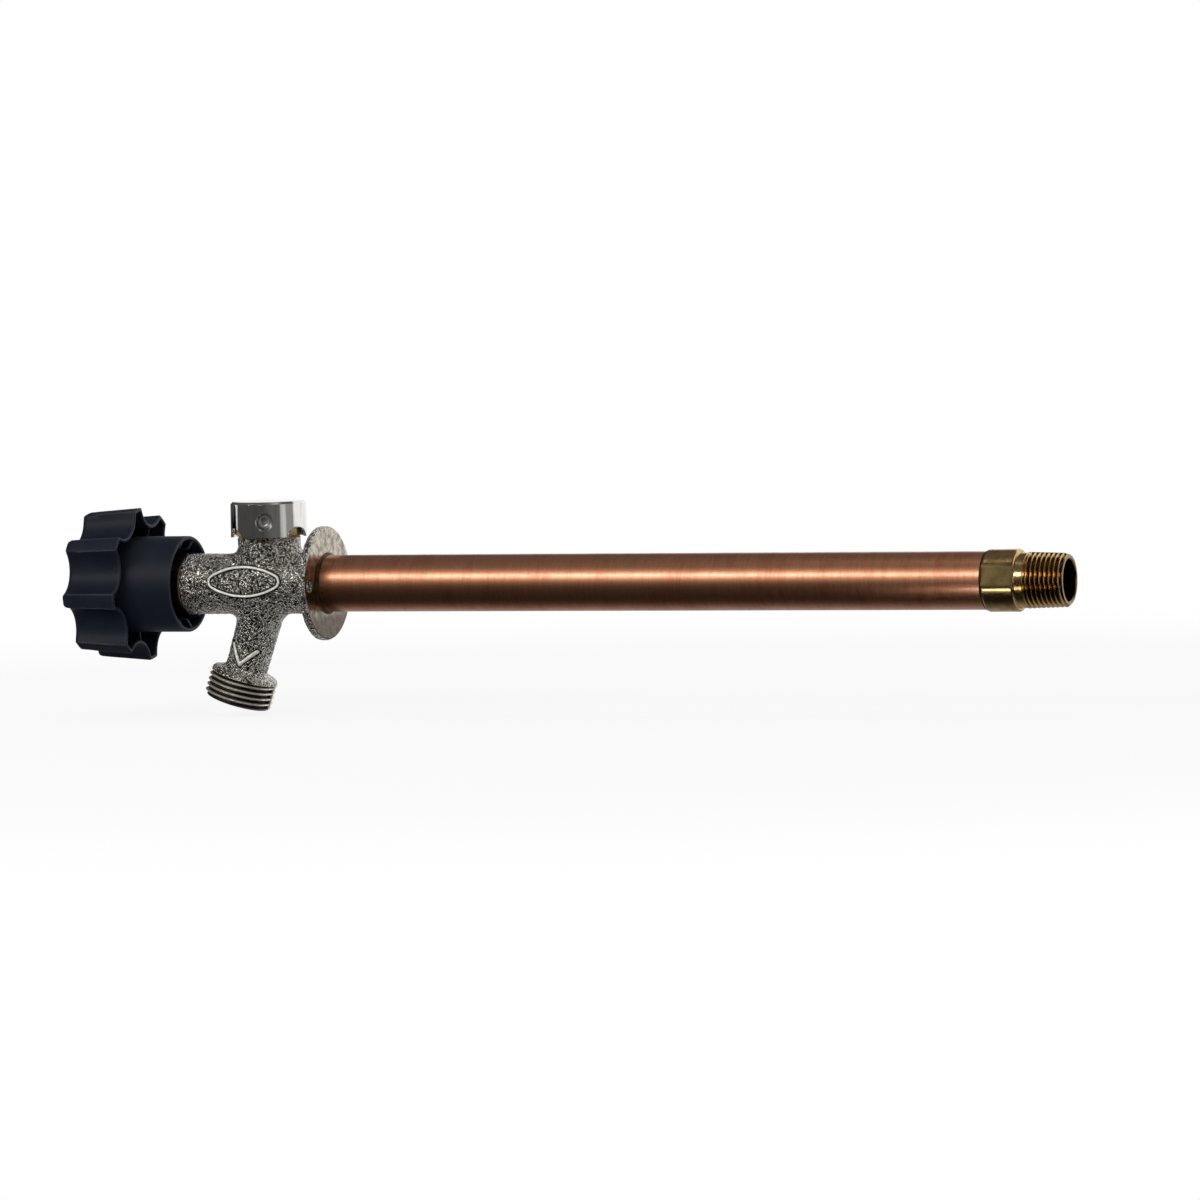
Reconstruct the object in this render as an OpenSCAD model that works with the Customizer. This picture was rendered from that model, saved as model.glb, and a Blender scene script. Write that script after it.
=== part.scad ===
// Frost free sillcock with a vacuum breaker on top, worked by half a turn of its knob.
// The origin is the centre of the flange's wall face, on the axis of the supply tube.
// +X runs along the tube into the house, +Z is up, and the knob is at the -X end.
// Everything is drawn with the valve closed and the vacuum breaker's float down.

/* [Supply tube] */
// Wall face of the flange to the end of the inlet, the length that such a sillcock is listed by
wall_length = 304.8; // [152.4:0.1:355.6]
// Outside diameter of the supply tube
tube_d = 22.225; // [21.6:0.005:22.8]
// Wall of the supply tube
tube_wall = 1.14; // [0.8:0.01:1.4]
// Depth of the tube's socket in the head
tube_socket = 6; // [4:0.5:9]

/* [Head casting] */
// Wall of the barrel round the socket of the supply tube
socket_wall = 0.8875; // [0.8:0.0125:1.9]
// Wall face of the flange to the front end of the barrel
barrel_len = 59.4; // [58:0.1:66]
// Bore for the cam bush and the packing nut, from the front end
cartridge_d = 19; // [18.6:0.1:20]
// Depth of that bore
cartridge_depth = 21.4; // [20.4:0.1:22.4]
// Bore of the water chamber behind it
chamber_d = 17.2; // [15:0.1:17.8]
// Radius of the cast fillets where the tower, spout and flange meet the barrel
fillet_r = 3; // [1:0.1:4]

/* [Wall flange] */
// Diameter of the flange
flange_d = 44.8; // [44:0.1:52]
// Thickness of the flange
flange_t = 3.1; // [2.4:0.1:4.5]
// Radius that rounds the flange's rim
flange_round = 0.9; // [0.3:0.1:1.1]
// Distance between the two wall screw holes, as a share of the flange's diameter
flange_share = 0.79; // [0.785:0.001:0.8]
// Diameter of the wall screw holes
flange_hole_d = 5.2; // [4:0.1:5.4]

/* [Vacuum breaker tower] */
// Wall face of the flange to the axis of the tower
tower_x = 24.8; // [24:0.1:28]
// Outside diameter of the tower
tower_d = 24.8; // [24:0.1:26]
// Top of the tower above the axis of the barrel
tower_top = 18.4; // [17.6:0.1:20]
// Bore of the float chamber
tower_bore_d = 20; // [19:0.1:20.8]
// Floor of the float chamber above the axis of the barrel
tower_floor = 10; // [9.8:0.1:10.4]
// Port from the barrel to the float chamber
port_d = 11; // [8:0.1:13]

/* [Spout] */
// Wall face of the flange to where the spout's axis meets the axis of the barrel
spout_x = 25; // [22:0.1:28]
// Lean of the spout away from the wall, in degrees
spout_tilt = 18.5; // [8:0.5:20]
// Diameter of the spout where it leaves the barrel
spout_root_d = 18; // [17.4:0.1:20]
// Diameter of the spout just above its threaded end
spout_neck_d = 16.6; // [15:0.1:17.2]
// Axis of the barrel to the shoulder above the hose thread
spout_shoulder = 38.5; // [34:0.5:46]
// Waterway down the spout
spout_bore_d = 11.6; // [8:0.1:12.4]
// Bore of the spout's mouth
mouth_d = 18; // [13:0.1:20]

/* [Hose thread] */
// Outside diameter of the hose thread
hose_d = 26.98; // [25:0.01:28]
// Length of the hose thread, without the chamfer at its end
hose_len = 9.3; // [8:0.1:13]
// Chamfer at the end of the hose thread
hose_chamfer = 0.8; // [0.3:0.1:1.2]

/* [Oval panel] */
// Length of the raised oval on the side of the barrel
oval_len = 31; // [20:0.5:32]
// Height of the raised oval
oval_h = 12.5; // [8:0.5:14]
// Width of its raised line
oval_line = 1; // [0.6:0.1:1.4]
// How far its floor stands out from the side of the barrel
oval_floor = 0.45; // [0.4:0.05:0.8]
// How far the line stands up from that floor
oval_raise = 0.5; // [0.2:0.1:0.8]
// Wall face of the flange to the middle of the oval
oval_x = 30.8; // [28:0.1:32]
// Middle of the oval above the axis of the barrel
oval_z = 1.5; // [0:0.1:2]

/* [Vacuum breaker] */
// Outside diameter of the cap at its rim
cap_d = 30; // [29.4:0.1:33]
// Height of the cap
cap_h = 14; // [13.4:0.1:16]
// Wall of the cap
cap_wall = 1.1; // [0.8:0.1:1.2]
// Draft of the cap's side, in degrees
cap_draft = 0.6; // [0:0.1:1]
// Chamfer round the top of the cap
cap_chamfer = 0.9; // [0.4:0.1:1]
// Radius of the arched vents in the cap's rim
vent_r = 6.5; // [4:0.1:6.8]
// Height of those vents
vent_h = 3.8; // [2:0.1:4.2]
// Turn of the cap's set screw from straight out to the side, in degrees
cap_turn = 17; // [0:1:40]
// Set screw above the rim of the cap
cap_screw_z = 6.5; // [6.1:0.1:7]
// Diameter of the set screw
cap_screw_d = 5.8; // [4:0.1:6]
// Across the flats of the bonnet's hexagon
bonnet_flats = 23.7; // [22:0.1:24]
// Thickness of the bonnet's hexagon
bonnet_hex_t = 2.6; // [2:0.1:2.8]
// Diameter of the bonnet's crown
crown_d = 19; // [17:0.1:19.4]
// Bore through the seat in the bonnet
bonnet_bore_d = 10; // [8:0.1:11]
// Width of the four air windows in the crown
window_w = 4; // [2.5:0.1:5]
// Diameter of the float
float_d = 16.4; // [14.4:0.1:16.6]
// Thickness of the float
float_t = 2.3; // [1.8:0.1:2.4]
// Diameter of the float's guide pin
float_pin_d = 3.2; // [2.4:0.1:3.4]
// Thickness of the float's seal
float_seal_t = 1.4; // [1:0.1:1.6]
// How far the float lifts to close the vent
float_lift = 2.4; // [1.6:0.1:2.6]

/* [Inlet fitting] */
// Diameter of the inlet collar
collar_d = 23.7; // [23.5:0.1:27]
// Length of the inlet collar
collar_len = 12.7; // [8:0.1:20]
// Half the distance across the collar's two wrench flats
flat_half = 11.05; // [10.6:0.05:11.4]
// Turn of those flats round the collar, in degrees
flat_turn = 12; // [0:1:45]
// Length of the inlet thread with its relief
inlet_len = 19.05; // [16:0.05:24]
// Diameter of the inlet thread at its large end
inlet_d = 21.34; // [19.8:0.01:22]
// Length of the relief between the collar and the thread
relief_len = 3.4; // [2:0.1:5]
// Diameter of the relief
relief_d = 21; // [19:0.1:22]
// Solder socket inside the inlet
socket_d = 15.96; // [14:0.01:16.4]
// Depth of the solder socket
socket_depth = 12.7; // [9:0.1:15]
// Waterway through the fitting
passage_d = 12; // [8:0.1:13]
// Length of the spigot inside the supply tube
spigot_len = 14; // [8:0.5:24]
// Height of the valve seat's raised ring
seat_h = 1.2; // [0.6:0.1:2]
// Diameter of the raised ring
seat_d = 15; // [14.4:0.1:15.4]

/* [Valve stem] */
// Turn of the knob from closed to open, in degrees
turn = 180; // [90:5:200]
// Travel of the stem from closed to open
travel = 6; // [3:0.1:6.2]
// Diameter of the spindle where it passes the packing
spindle_d = 9.5; // [8.6:0.1:10]
// Diameter of the cam pin
cam_pin_d = 3; // [2:0.1:3.2]
// Length of the cam bush
bush_len = 13.6; // [13:0.1:14]
// Outside diameter of the long rod
rod_d = 9.525; // [9.3:0.005:12]
// Wall of the long rod
rod_wall = 0.76; // [0.6:0.01:0.8]
// Across the flats of the spindle's square end
square_w = 7; // [5.6:0.1:7.4]
// Diameter of the seat washer
seat_washer_d = 15.6; // [15:0.1:16]
// Thickness of the seat washer
seat_washer_t = 3.2; // [2:0.1:4]
// Length of the stem guide
guide_len = 8; // [5:0.5:14]
// Thickness of the guide's fins
guide_fin = 1.6; // [1:0.1:3]

/* [Packing] */
// Diameter of the packing rings
packing_d = 14; // [13:0.1:15]
// Thickness of one packing ring
packing_t = 2.4; // [2:0.1:2.5]
// Number of packing rings
packing_count = 3; // [2:1:3]
// Thickness of the packing washer
packing_washer_t = 1.2; // [0.8:0.1:1.4]
// Across the flats of the packing nut
nut_flats = 21; // [20:0.1:22]
// Thickness of the nut's hexagon
nut_hex_t = 7; // [4:0.1:9]
// Thickness of the gasket under the nut
nut_gasket_t = 0.8; // [0.5:0.1:1.2]

/* [Knob] */
// Diameter over the lobes at the knob's rear rim
knob_d = 60.8; // [58:0.1:68]
// Number of lobes
lobes = 8; // [6:1:9]
// Radius of the scallops between the lobes
scallop_r = 9.33; // [8:0.01:11]
// Depth of the scallops
scallop_depth = 6.4; // [4:0.1:6.6]
// Turn of the first lobe, in degrees
lobe_turn = -10; // [-30:1:30]
// Draft of the lobes and scallops, in degrees
knob_draft = 4.2; // [1:0.1:5]
// Length of the whole knob
knob_len = 43; // [40:0.5:50]
// Length of the skirt behind the lobes
skirt_len = 19.1; // [14:0.1:24]
// Diameter of the skirt
skirt_d = 37.8; // [36:0.1:39]
// Wall of the knob
knob_wall = 1.4; // [1.2:0.1:2]
// Radius that rounds the knob's front edge
knob_round = 3; // [1.5:0.1:4]
// Number of ribs inside the skirt
skirt_ribs = 12; // [6:1:16]
// Height of the ribs inside the skirt
skirt_rib_h = 3.4; // [1:0.1:3.8]
// Thickness of the ribs
rib_t = 1.1; // [0.8:0.1:1.6]
// Diameter of the hub
hub_d = 15; // [14:0.1:17]
// Gap between the skirt and the barrel when the valve is closed
knob_gap = 0.3; // [0.2:0.1:4]

/* [Hidden] */
$fn = 64;

// Clearances
braze_gap = 0.04;
thread_gap = 0.05;
run_gap = 0.05;
slide_gap = 0.1;
ring_gap = 0.05;
slot_gap = 0.15;
end_gap = 0.1;
cut = 1;

// Radii of the tube, barrel and bores
tube_r = tube_d / 2;
tube_ir = tube_r - tube_wall;
barrel_r = tube_r + socket_wall;
cartridge_r = cartridge_d / 2;
chamber_r = chamber_d / 2;
fillet_reach = fillet_r * (1 - cos(45));
foot_inset = 0.15;
spindle_r = spindle_d / 2;
rod_r = rod_d / 2;
rod_ir = rod_r - rod_wall;

// Places along the barrel
front_x = -barrel_len;
bush_x = front_x + cartridge_depth;
bush_front_x = bush_x - bush_len;
nut_face_x = front_x - nut_gasket_t;
nut_end_x = nut_face_x - nut_hex_t;

// Cam pin and the helical slot that it runs in
pin_r = cam_pin_d / 2;
slot_r = pin_r + slot_gap;
slot_margin = (bush_len - travel - 2 * slot_r) / 2;
pin_x = bush_x - slot_margin - slot_r;
bush_ir = spindle_r + run_gap;
bush_or = cartridge_r - thread_gap;
pin_reach = bush_or - 0.6;
slot_steps = 20;
lead = travel / (turn * PI / 180);
slot_half = slot_r / cos(atan(lead / bush_ir));

// Packing, from the bush outward
packing_r = packing_d / 2;
packing_x = bush_front_x - packing_washer_t;
packing_end_x = packing_x - packing_count * (packing_t + ring_gap) - ring_gap;

// Vacuum breaker, upward
cap_x = -tower_x;
tower_r = tower_d / 2;
tower_bore_r = tower_bore_d / 2;
gasket_t = 0.8;
bonnet_z = tower_top + gasket_t;
crown_z = bonnet_z + bonnet_hex_t;
cap_z = tower_top + 0.1;
cap_top_z = cap_z + cap_h;
ceiling_z = cap_top_z - cap_wall;
float_z = tower_floor + float_t;
vent_seat_z = float_z + float_seal_t + float_lift;
bridge_z = ceiling_z - 5;
pin_top_z = ceiling_z - float_lift - 0.3;
float_pin_r = float_pin_d / 2;
float_boss_r = float_pin_r + 0.8;
float_barb_r = float_boss_r + 0.6;
float_barb_t = 0.6;
bonnet_skirt_z = tower_floor + float_t - 0.1;
bonnet_cavity_r = float_d / 2 + 0.4;
screw_z = cap_z + cap_screw_z;

// Spout
spout_end = spout_shoulder + hose_len + hose_chamfer;
hose_r = hose_d / 2;
ledge_r = hose_r - 0.4;
ledge_t = 1.5;
mouth_r = mouth_d / 2;

// Inlet end, from the wall face
inlet_end_x = wall_length;
collar_end_x = inlet_end_x - inlet_len;
collar_x = collar_end_x - collar_len;
spigot_x = collar_x - spigot_len;
seat_x = spigot_x - seat_h;
inlet_taper = 1 / 32;
inlet_chamfer = 1;
seat_bore_r = passage_d / 2;

// Far end of the stem, from the seat back toward the knob
cup_x = seat_x - seat_washer_t;
tip_face_t = 3;
tip_x = cup_x - tip_face_t;
guide_x = tip_x - end_gap - guide_len;
thrust_t = 1;
journal_x = guide_x - end_gap - thrust_t;
rod_spigot = 12;
journal_r = rod_ir + 0.36;
seat_washer_r = seat_washer_d / 2;
cup_wall = 0.7;
cup_rim = 1.6;
washer_hole_r = 2.4;

// Spindle and knob, from the barrel's front end outward
rod_start_x = pin_x + 8;
mouth_x = front_x - knob_gap;
knob_r = knob_d / 2;
skirt_r = skirt_d / 2;
skirt_ir = skirt_r - knob_wall;
head_z = skirt_len;
front_wall = 2;
screw_seat_z = knob_len - 3;
hub_floor = 2.8;
square_len = 10.5;
spindle_end_z = screw_seat_z - hub_floor;
hub_r = hub_d / 2;
hub_z = 12;
handle_screw_r = 2.4;
handle_washer_t = 0.8;

// Shared shapes

// Cylinder along +X from x0 to x1, straight or tapered
module bar_x(x0, x1, r, r_end = -1) {
    translate([x0, 0, 0])
        rotate([0, 90, 0])
            cylinder(h = x1 - x0, r1 = r, r2 = r_end < 0 ? r : r_end);
}

// Ring along +X from x0 to x1
module ring_x(x0, x1, r_out, r_in) {
    difference() {
        bar_x(x0, x1, r_out);
        bar_x(x0 - cut, x1 + cut, r_in);
    }
}

// Hexagonal bar along +X, given across its flats
module hex_x(x0, x1, flats) {
    translate([x0, 0, 0])
        rotate([0, 90, 0])
            cylinder(h = x1 - x0, d = flats / cos(30), $fn = 6);
}

// Moves children into the spout's own frame: its axis is +Z, out of the mouth
module at_spout() {
    translate([-spout_x, 0, 0])
        rotate([0, 180 + spout_tilt, 0])
            children();
}

// Moves children onto the tower's axis, turned so that +X points at the set screw
module at_cap() {
    translate([cap_x, 0, 0])
        rotate([0, 0, cap_turn - 90])
            children();
}

// Moves children into the knob's own frame: +Z is out of its front, 0 is its mouth
module at_knob() {
    translate([mouth_x, 0, 0])
        rotate([0, -90, 0])
            children();
}

// Oval of four arcs, with its long side along X
module oval(len, high, end_r) {
    half = len / 2 - end_r;
    rise = (half * half - pow(high / 2 - end_r, 2)) / (high - 2 * end_r);
    side_r = rise + high / 2;
    tangent = side_r * half / norm([half, rise]);
    intersection() {
        translate([0, -rise]) circle(r = side_r, $fn = 128);
        translate([0, rise]) circle(r = side_r, $fn = 128);
        square([2 * tangent, high], center = true);
    }
    for (side = [-1, 1])
        translate([side * half, 0]) circle(r = end_r);
}

// Head casting

module flange_blank() {
    rotate([0, -90, 0])
        rotate_extrude() {
            square([flange_d / 2 - flange_round, flange_t]);
            translate([0, flange_round])
                square([flange_d / 2, flange_t - 2 * flange_round]);
            for (z = [flange_round, flange_t - flange_round])
                translate([flange_d / 2 - flange_round, z]) circle(r = flange_round);
            difference() {
                square([barrel_r + fillet_r, flange_t + fillet_r]);
                translate([barrel_r + fillet_r, flange_t + fillet_r]) circle(r = fillet_r);
            }
        }
}

// Flat disc across the barrel, drawn out along X so that it is no wider than the barrel
module foot_slice(r, height) {
    side = min(r, barrel_r - foot_inset);
    for (way = [-1, 1])
        translate([way * (r - side + fillet_reach), 0, 0])
            cylinder(h = height, r = side, $fn = 32);
}

// Blend at the foot of a round branch that leaves the barrel along the local +Z
module branch_foot(r, lean) {
    hull() {
        rotate([0, -lean, 0])
            rotate([0, 90, 0])
                cylinder(h = 2 * (r + fillet_r) / cos(lean), r = barrel_r - 0.02,
                    center = true, $fn = 48);
        translate([0, 0, barrel_r])
            foot_slice(r, fillet_reach);
    }
    intersection() {
        translate([0, 0, barrel_r + fillet_reach])
            cylinder(h = fillet_r - fillet_reach, r1 = r + fillet_reach, r2 = r);
        cube([4 * barrel_r, 2 * (barrel_r - foot_inset), 4 * barrel_r], center = true);
    }
}

// Raised line round a flat oval panel on the barrel's -Y side
module raised_oval() {
    translate([-oval_x, 1 - barrel_r / 2, oval_z])
        rotate([90, 0, 0]) {
            linear_extrude(barrel_r / 2 + 1 + oval_floor)
                oval(oval_len, oval_h, oval_h / 4);
            linear_extrude(barrel_r / 2 + 1 + oval_floor + oval_raise)
                difference() {
                    oval(oval_len, oval_h, oval_h / 4);
                    oval(oval_len - 2 * oval_line, oval_h - 2 * oval_line, oval_h / 4 - oval_line / 2);
                }
        }
}

module spout_blank() {
    cylinder(h = spout_shoulder, d1 = spout_root_d, d2 = spout_neck_d);
    branch_foot(spout_root_d / 2, spout_tilt);
    translate([0, 0, spout_shoulder - 2 * ledge_t])
        cylinder(h = ledge_t, d1 = spout_neck_d, r2 = ledge_r);
    translate([0, 0, spout_shoulder - ledge_t])
        cylinder(h = ledge_t, r = ledge_r);
    translate([0, 0, spout_shoulder])
        cylinder(h = hose_len, r = hose_r);
    translate([0, 0, spout_shoulder + hose_len])
        cylinder(h = hose_chamfer, r1 = hose_r, r2 = hose_r - hose_chamfer);
}

module body() {
    color("silver")
        difference() {
            union() {
                bar_x(front_x, 0, barrel_r);
                flange_blank();
                translate([cap_x, 0, 0]) {
                    cylinder(h = tower_top, r = tower_r);
                    branch_foot(tower_r, 0);
                }
                at_spout() spout_blank();
                raised_oval();
            }
            bar_x(front_x - cut, bush_x, cartridge_r);
            bar_x(bush_x - cut, 0, chamber_r);
            bar_x(-tube_socket, cut, tube_r + braze_gap);
            translate([cap_x, 0, 0]) {
                cylinder(h = tower_floor + cut, d = port_d);
                translate([0, 0, tower_floor])
                    cylinder(h = tower_top, r = tower_bore_r);
            }
            at_spout() {
                cylinder(h = spout_shoulder, d = spout_bore_d);
                translate([0, 0, spout_shoulder - ledge_t / 2])
                    cylinder(h = spout_end, r = mouth_r);
            }
            for (side = [-1, 1])
                translate([-flange_t - cut, side * flange_share * flange_d / 2, 0])
                    rotate([0, 90, 0])
                        cylinder(h = flange_t + 2 * cut, d = flange_hole_d);
        }
}

// Supply tube and inlet

module supply_tube() {
    color("peru")
        ring_x(-tube_socket, collar_x, tube_r, tube_ir);
}

module inlet_fitting() {
    thread_x = collar_end_x + relief_len;
    thread_run = inlet_end_x - thread_x - inlet_chamfer;
    small_r = inlet_d / 2 - thread_run * inlet_taper;
    bevel = 0.7;
    color("darkgoldenrod")
        difference() {
            union() {
                bar_x(seat_x, spigot_x, seat_d / 2);
                bar_x(spigot_x, collar_x, tube_ir - braze_gap);
                difference() {
                    union() {
                        bar_x(collar_x, collar_x + bevel, collar_d / 2 - bevel, collar_d / 2);
                        bar_x(collar_x + bevel, collar_end_x - bevel, collar_d / 2);
                        bar_x(collar_end_x - bevel, collar_end_x, collar_d / 2, collar_d / 2 - bevel);
                    }
                    rotate([-flat_turn, 0, 0])
                        for (side = [-1, 1])
                            translate([collar_x + collar_len / 2, side * (flat_half + collar_d / 2), 0])
                                cube([collar_len + 2 * cut, collar_d, collar_d], center = true);
                }
                bar_x(collar_end_x, thread_x, relief_d / 2);
                bar_x(thread_x, thread_x + thread_run, inlet_d / 2, small_r);
                bar_x(thread_x + thread_run, inlet_end_x, small_r, small_r - inlet_chamfer);
            }
            bar_x(seat_x - cut, inlet_end_x, seat_bore_r);
            bar_x(inlet_end_x - socket_depth, inlet_end_x + cut, socket_d / 2);
        }
}

// Cam bush and packing

// Helical channel that the cam pin runs along, without its round ends
module slot_sweep() {
    inner = bush_ir - cut;
    outer = bush_or + cut;
    points = [
        for (i = [0:slot_steps], corner = [[-1, inner], [1, inner], [1, outer], [-1, outer]])
            let (a = turn * i / slot_steps, x = pin_x - travel * i / slot_steps)
                [x + corner[0] * slot_half, corner[1] * sin(a), corner[1] * cos(a)]
    ];
    sides = [
        for (i = [0:slot_steps - 1], k = [0:3])
            let (p = 4 * i + k, q = 4 * i + (k + 1) % 4)
                each [[p, q, q + 4], [p, q + 4, p + 4]]
    ];
    last = 4 * slot_steps;
    ends = [[0, 2, 1], [0, 3, 2], [last, last + 1, last + 2], [last, last + 2, last + 3]];
    polyhedron(points = points, faces = concat(sides, ends));
}

module cam_bush() {
    color("goldenrod")
        difference() {
            ring_x(bush_front_x, bush_x, bush_or, bush_ir);
            slot_sweep();
            for (end = [0, 1])
                translate([pin_x - travel * end, 0, 0])
                    rotate([-turn * end, 0, 0])
                        cylinder(h = bush_or + cut, r = slot_r);
        }
}

module packing_washer() {
    color("goldenrod")
        ring_x(packing_x, bush_front_x, packing_r, spindle_r + slide_gap);
}

module packing_rings() {
    color("dimgray")
        for (i = [1:packing_count])
            translate([packing_x - i * (packing_t + ring_gap), 0, 0])
                ring_x(0, packing_t, packing_r, spindle_r + run_gap);
}

module packing_nut() {
    color("goldenrod")
        difference() {
            union() {
                bar_x(nut_face_x, bush_front_x, cartridge_r - thread_gap);
                intersection() {
                    hex_x(nut_end_x, nut_face_x, nut_flats);
                    bar_x(nut_end_x, nut_face_x, nut_flats / 2, nut_flats / 2 + nut_hex_t);
                }
            }
            bar_x(packing_end_x, bush_front_x + cut, packing_r + thread_gap);
            bar_x(nut_end_x - cut, packing_end_x + cut, spindle_r + slide_gap);
        }
}

module nut_gasket() {
    color("saddlebrown")
        ring_x(nut_face_x, front_x, nut_flats / 2, cartridge_r);
}

// Vacuum breaker

module vb_gasket() {
    color("saddlebrown")
        translate([cap_x, 0, tower_top])
            difference() {
                cylinder(h = gasket_t, r = tower_r - 0.3);
                translate([0, 0, -cut])
                    cylinder(h = gasket_t + 2 * cut, r = tower_bore_r);
            }
}

module vb_bonnet() {
    color("goldenrod")
        at_cap()
            difference() {
                union() {
                    translate([0, 0, bonnet_skirt_z])
                        cylinder(h = bonnet_z - bonnet_skirt_z, r = tower_bore_r - thread_gap);
                    translate([0, 0, bonnet_z])
                        cylinder(h = bonnet_hex_t, d = bonnet_flats / cos(30), $fn = 6);
                    translate([0, 0, crown_z])
                        cylinder(h = ceiling_z - crown_z, d = crown_d);
                }
                translate([0, 0, bonnet_skirt_z - cut])
                    cylinder(h = vent_seat_z - bonnet_skirt_z + cut, r = bonnet_cavity_r);
                translate([0, 0, vent_seat_z - cut])
                    cylinder(h = bridge_z - vent_seat_z + cut, d = bonnet_bore_d);
                translate([0, 0, bridge_z - cut])
                    cylinder(h = ceiling_z, r = float_pin_r + slide_gap);
                for (a = [45, 135])
                    rotate([0, 0, a])
                        translate([0, 0, (crown_z + bridge_z) / 2])
                            cube([crown_d + 2 * cut, window_w, bridge_z - crown_z - 0.4], center = true);
            }
}

module cap_shell() {
    rim_r = cap_d / 2;
    top_r = rim_r - cap_h * tan(cap_draft);
    difference() {
        union() {
            cylinder(h = cap_h - cap_chamfer, r1 = rim_r, r2 = top_r);
            translate([0, 0, cap_h - cap_chamfer])
                cylinder(h = cap_chamfer, r1 = top_r, r2 = top_r - cap_chamfer);
        }
        translate([0, 0, -cut])
            cylinder(h = cap_h - cap_wall + cut, r = top_r - cap_wall + 0.05);
    }
}

module vb_cap() {
    pad_z = crown_z - cap_z + 0.3;
    pad_r = crown_d / 2 + 0.2;
    hole_r = cap_screw_d / 2 + thread_gap;
    color("gainsboro")
        at_cap()
            translate([0, 0, cap_z])
                difference() {
                    union() {
                        cap_shell();
                        translate([pad_r, -hole_r - 1.6, pad_z])
                            cube([
                                cap_d / 2 - cap_wall - pad_r, 2 * hole_r + 3.2,
                                cap_h - pad_z - cap_wall / 2
                            ]);
                    }
                    translate([0, 0, cap_screw_z])
                        rotate([0, 90, 0]) {
                            cylinder(h = cap_d, r = hole_r);
                            translate([0, 0, cap_d / 2 - 1])
                                cylinder(h = 1.2, r1 = hole_r, r2 = hole_r + 1.1);
                        }
                    for (i = [0:2])
                        rotate([0, 0, 60 + 120 * i])
                            translate([crown_d / 2 + 0.5, 0, vent_h - vent_r])
                                rotate([0, 90, 0])
                                    cylinder(h = cap_d, r = vent_r);
                }
}

module vb_cap_screw() {
    length = cap_d / 2 - 1.6 - crown_d / 2;
    color("silver")
        at_cap()
            translate([crown_d / 2, 0, screw_z])
                rotate([0, 90, 0])
                    difference() {
                        cylinder(h = length, d = cap_screw_d);
                        translate([0, 0, length - 2])
                            cylinder(h = 2 + cut, d = cap_screw_d * 0.52, $fn = 6);
                    }
}

module vb_float() {
    color("white")
        translate([cap_x, 0, 0]) {
            translate([0, 0, tower_floor])
                cylinder(h = float_t, d = float_d);
            translate([0, 0, float_z])
                cylinder(h = float_seal_t, r = float_boss_r);
            translate([0, 0, float_z + float_seal_t])
                cylinder(h = float_barb_t, r1 = float_barb_r, r2 = float_boss_r);
            translate([0, 0, float_z])
                cylinder(h = pin_top_z - float_z, r = float_pin_r);
        }
}

module vb_float_seal() {
    color("black")
        translate([cap_x, 0, float_z])
            difference() {
                cylinder(h = float_seal_t, d = float_d - 1.2);
                translate([0, 0, -cut])
                    cylinder(h = float_seal_t + 2 * cut, r = float_boss_r);
            }
}

// Stem, from the far end to the knob

module stem_guide() {
    color("ivory")
        difference() {
            union() {
                bar_x(guide_x, guide_x + guide_len, journal_r + 1.6);
                intersection() {
                    bar_x(guide_x, guide_x + guide_len, tube_ir - slide_gap);
                    for (a = [45, 135])
                        rotate([a, 0, 0])
                            translate([guide_x + guide_len / 2, 0, 0])
                                cube([guide_len, guide_fin, tube_d], center = true);
                }
            }
            bar_x(guide_x - cut, guide_x + guide_len + cut, journal_r + run_gap);
        }
}

module spindle() {
    spigot_r = rod_ir - thread_gap;
    square_x = mouth_x - spindle_end_z;
    color("goldenrod")
        difference() {
            union() {
                bar_x(square_x + square_len, rod_start_x, spindle_r);
                bar_x(rod_start_x - cut, rod_start_x + rod_spigot, spigot_r);
                intersection() {
                    translate([square_x, -square_w / 2, -square_w / 2])
                        cube([square_len + cut, square_w, square_w]);
                    bar_x(square_x, square_x + square_len + cut, spindle_r);
                }
            }
            translate([pin_x, 0, 0])
                cylinder(h = 2 * spindle_r, r = pin_r);
            bar_x(square_x - cut, square_x + square_len, handle_screw_r);
        }
}

module cam_pin() {
    color("lightgray")
        translate([pin_x, 0, 0])
            cylinder(h = pin_reach, r = pin_r);
}

module stem_rod() {
    color("peru")
        ring_x(rod_start_x, journal_x, rod_r, rod_ir);
}

module stem_tip() {
    rim_x = cup_x + cup_rim;
    cup_r = seat_washer_r + cup_wall;
    color("goldenrod")
        difference() {
            union() {
                bar_x(journal_x - rod_spigot, journal_x, rod_ir - thread_gap);
                bar_x(journal_x, tip_x, journal_r);
                bar_x(tip_x, tip_x + 1, cup_r - 1, cup_r);
                bar_x(tip_x + 1, rim_x, cup_r);
            }
            bar_x(cup_x, rim_x + cut, seat_washer_r);
            bar_x(journal_x - rod_spigot / 2, cup_x + cut, washer_hole_r);
        }
}

module thrust_washer() {
    color("goldenrod")
        ring_x(journal_x, journal_x + thrust_t, rod_r + 1.4, journal_r);
}

module seat_washer() {
    color("black")
        ring_x(cup_x, seat_x, seat_washer_r, washer_hole_r);
}

module washer_screw() {
    head_t = 2;
    head_r = washer_hole_r + 2.2;
    color("goldenrod")
        difference() {
            union() {
                bar_x(journal_x, seat_x, washer_hole_r);
                bar_x(seat_x, seat_x + head_t, head_r, head_r - 1);
            }
            translate([seat_x + head_t, 0, 0])
                cube([2, 1, 3 * head_r], center = true);
        }
}

// Knob

function lobe_angle(k) = lobe_turn + 360 / lobes * k;

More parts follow.
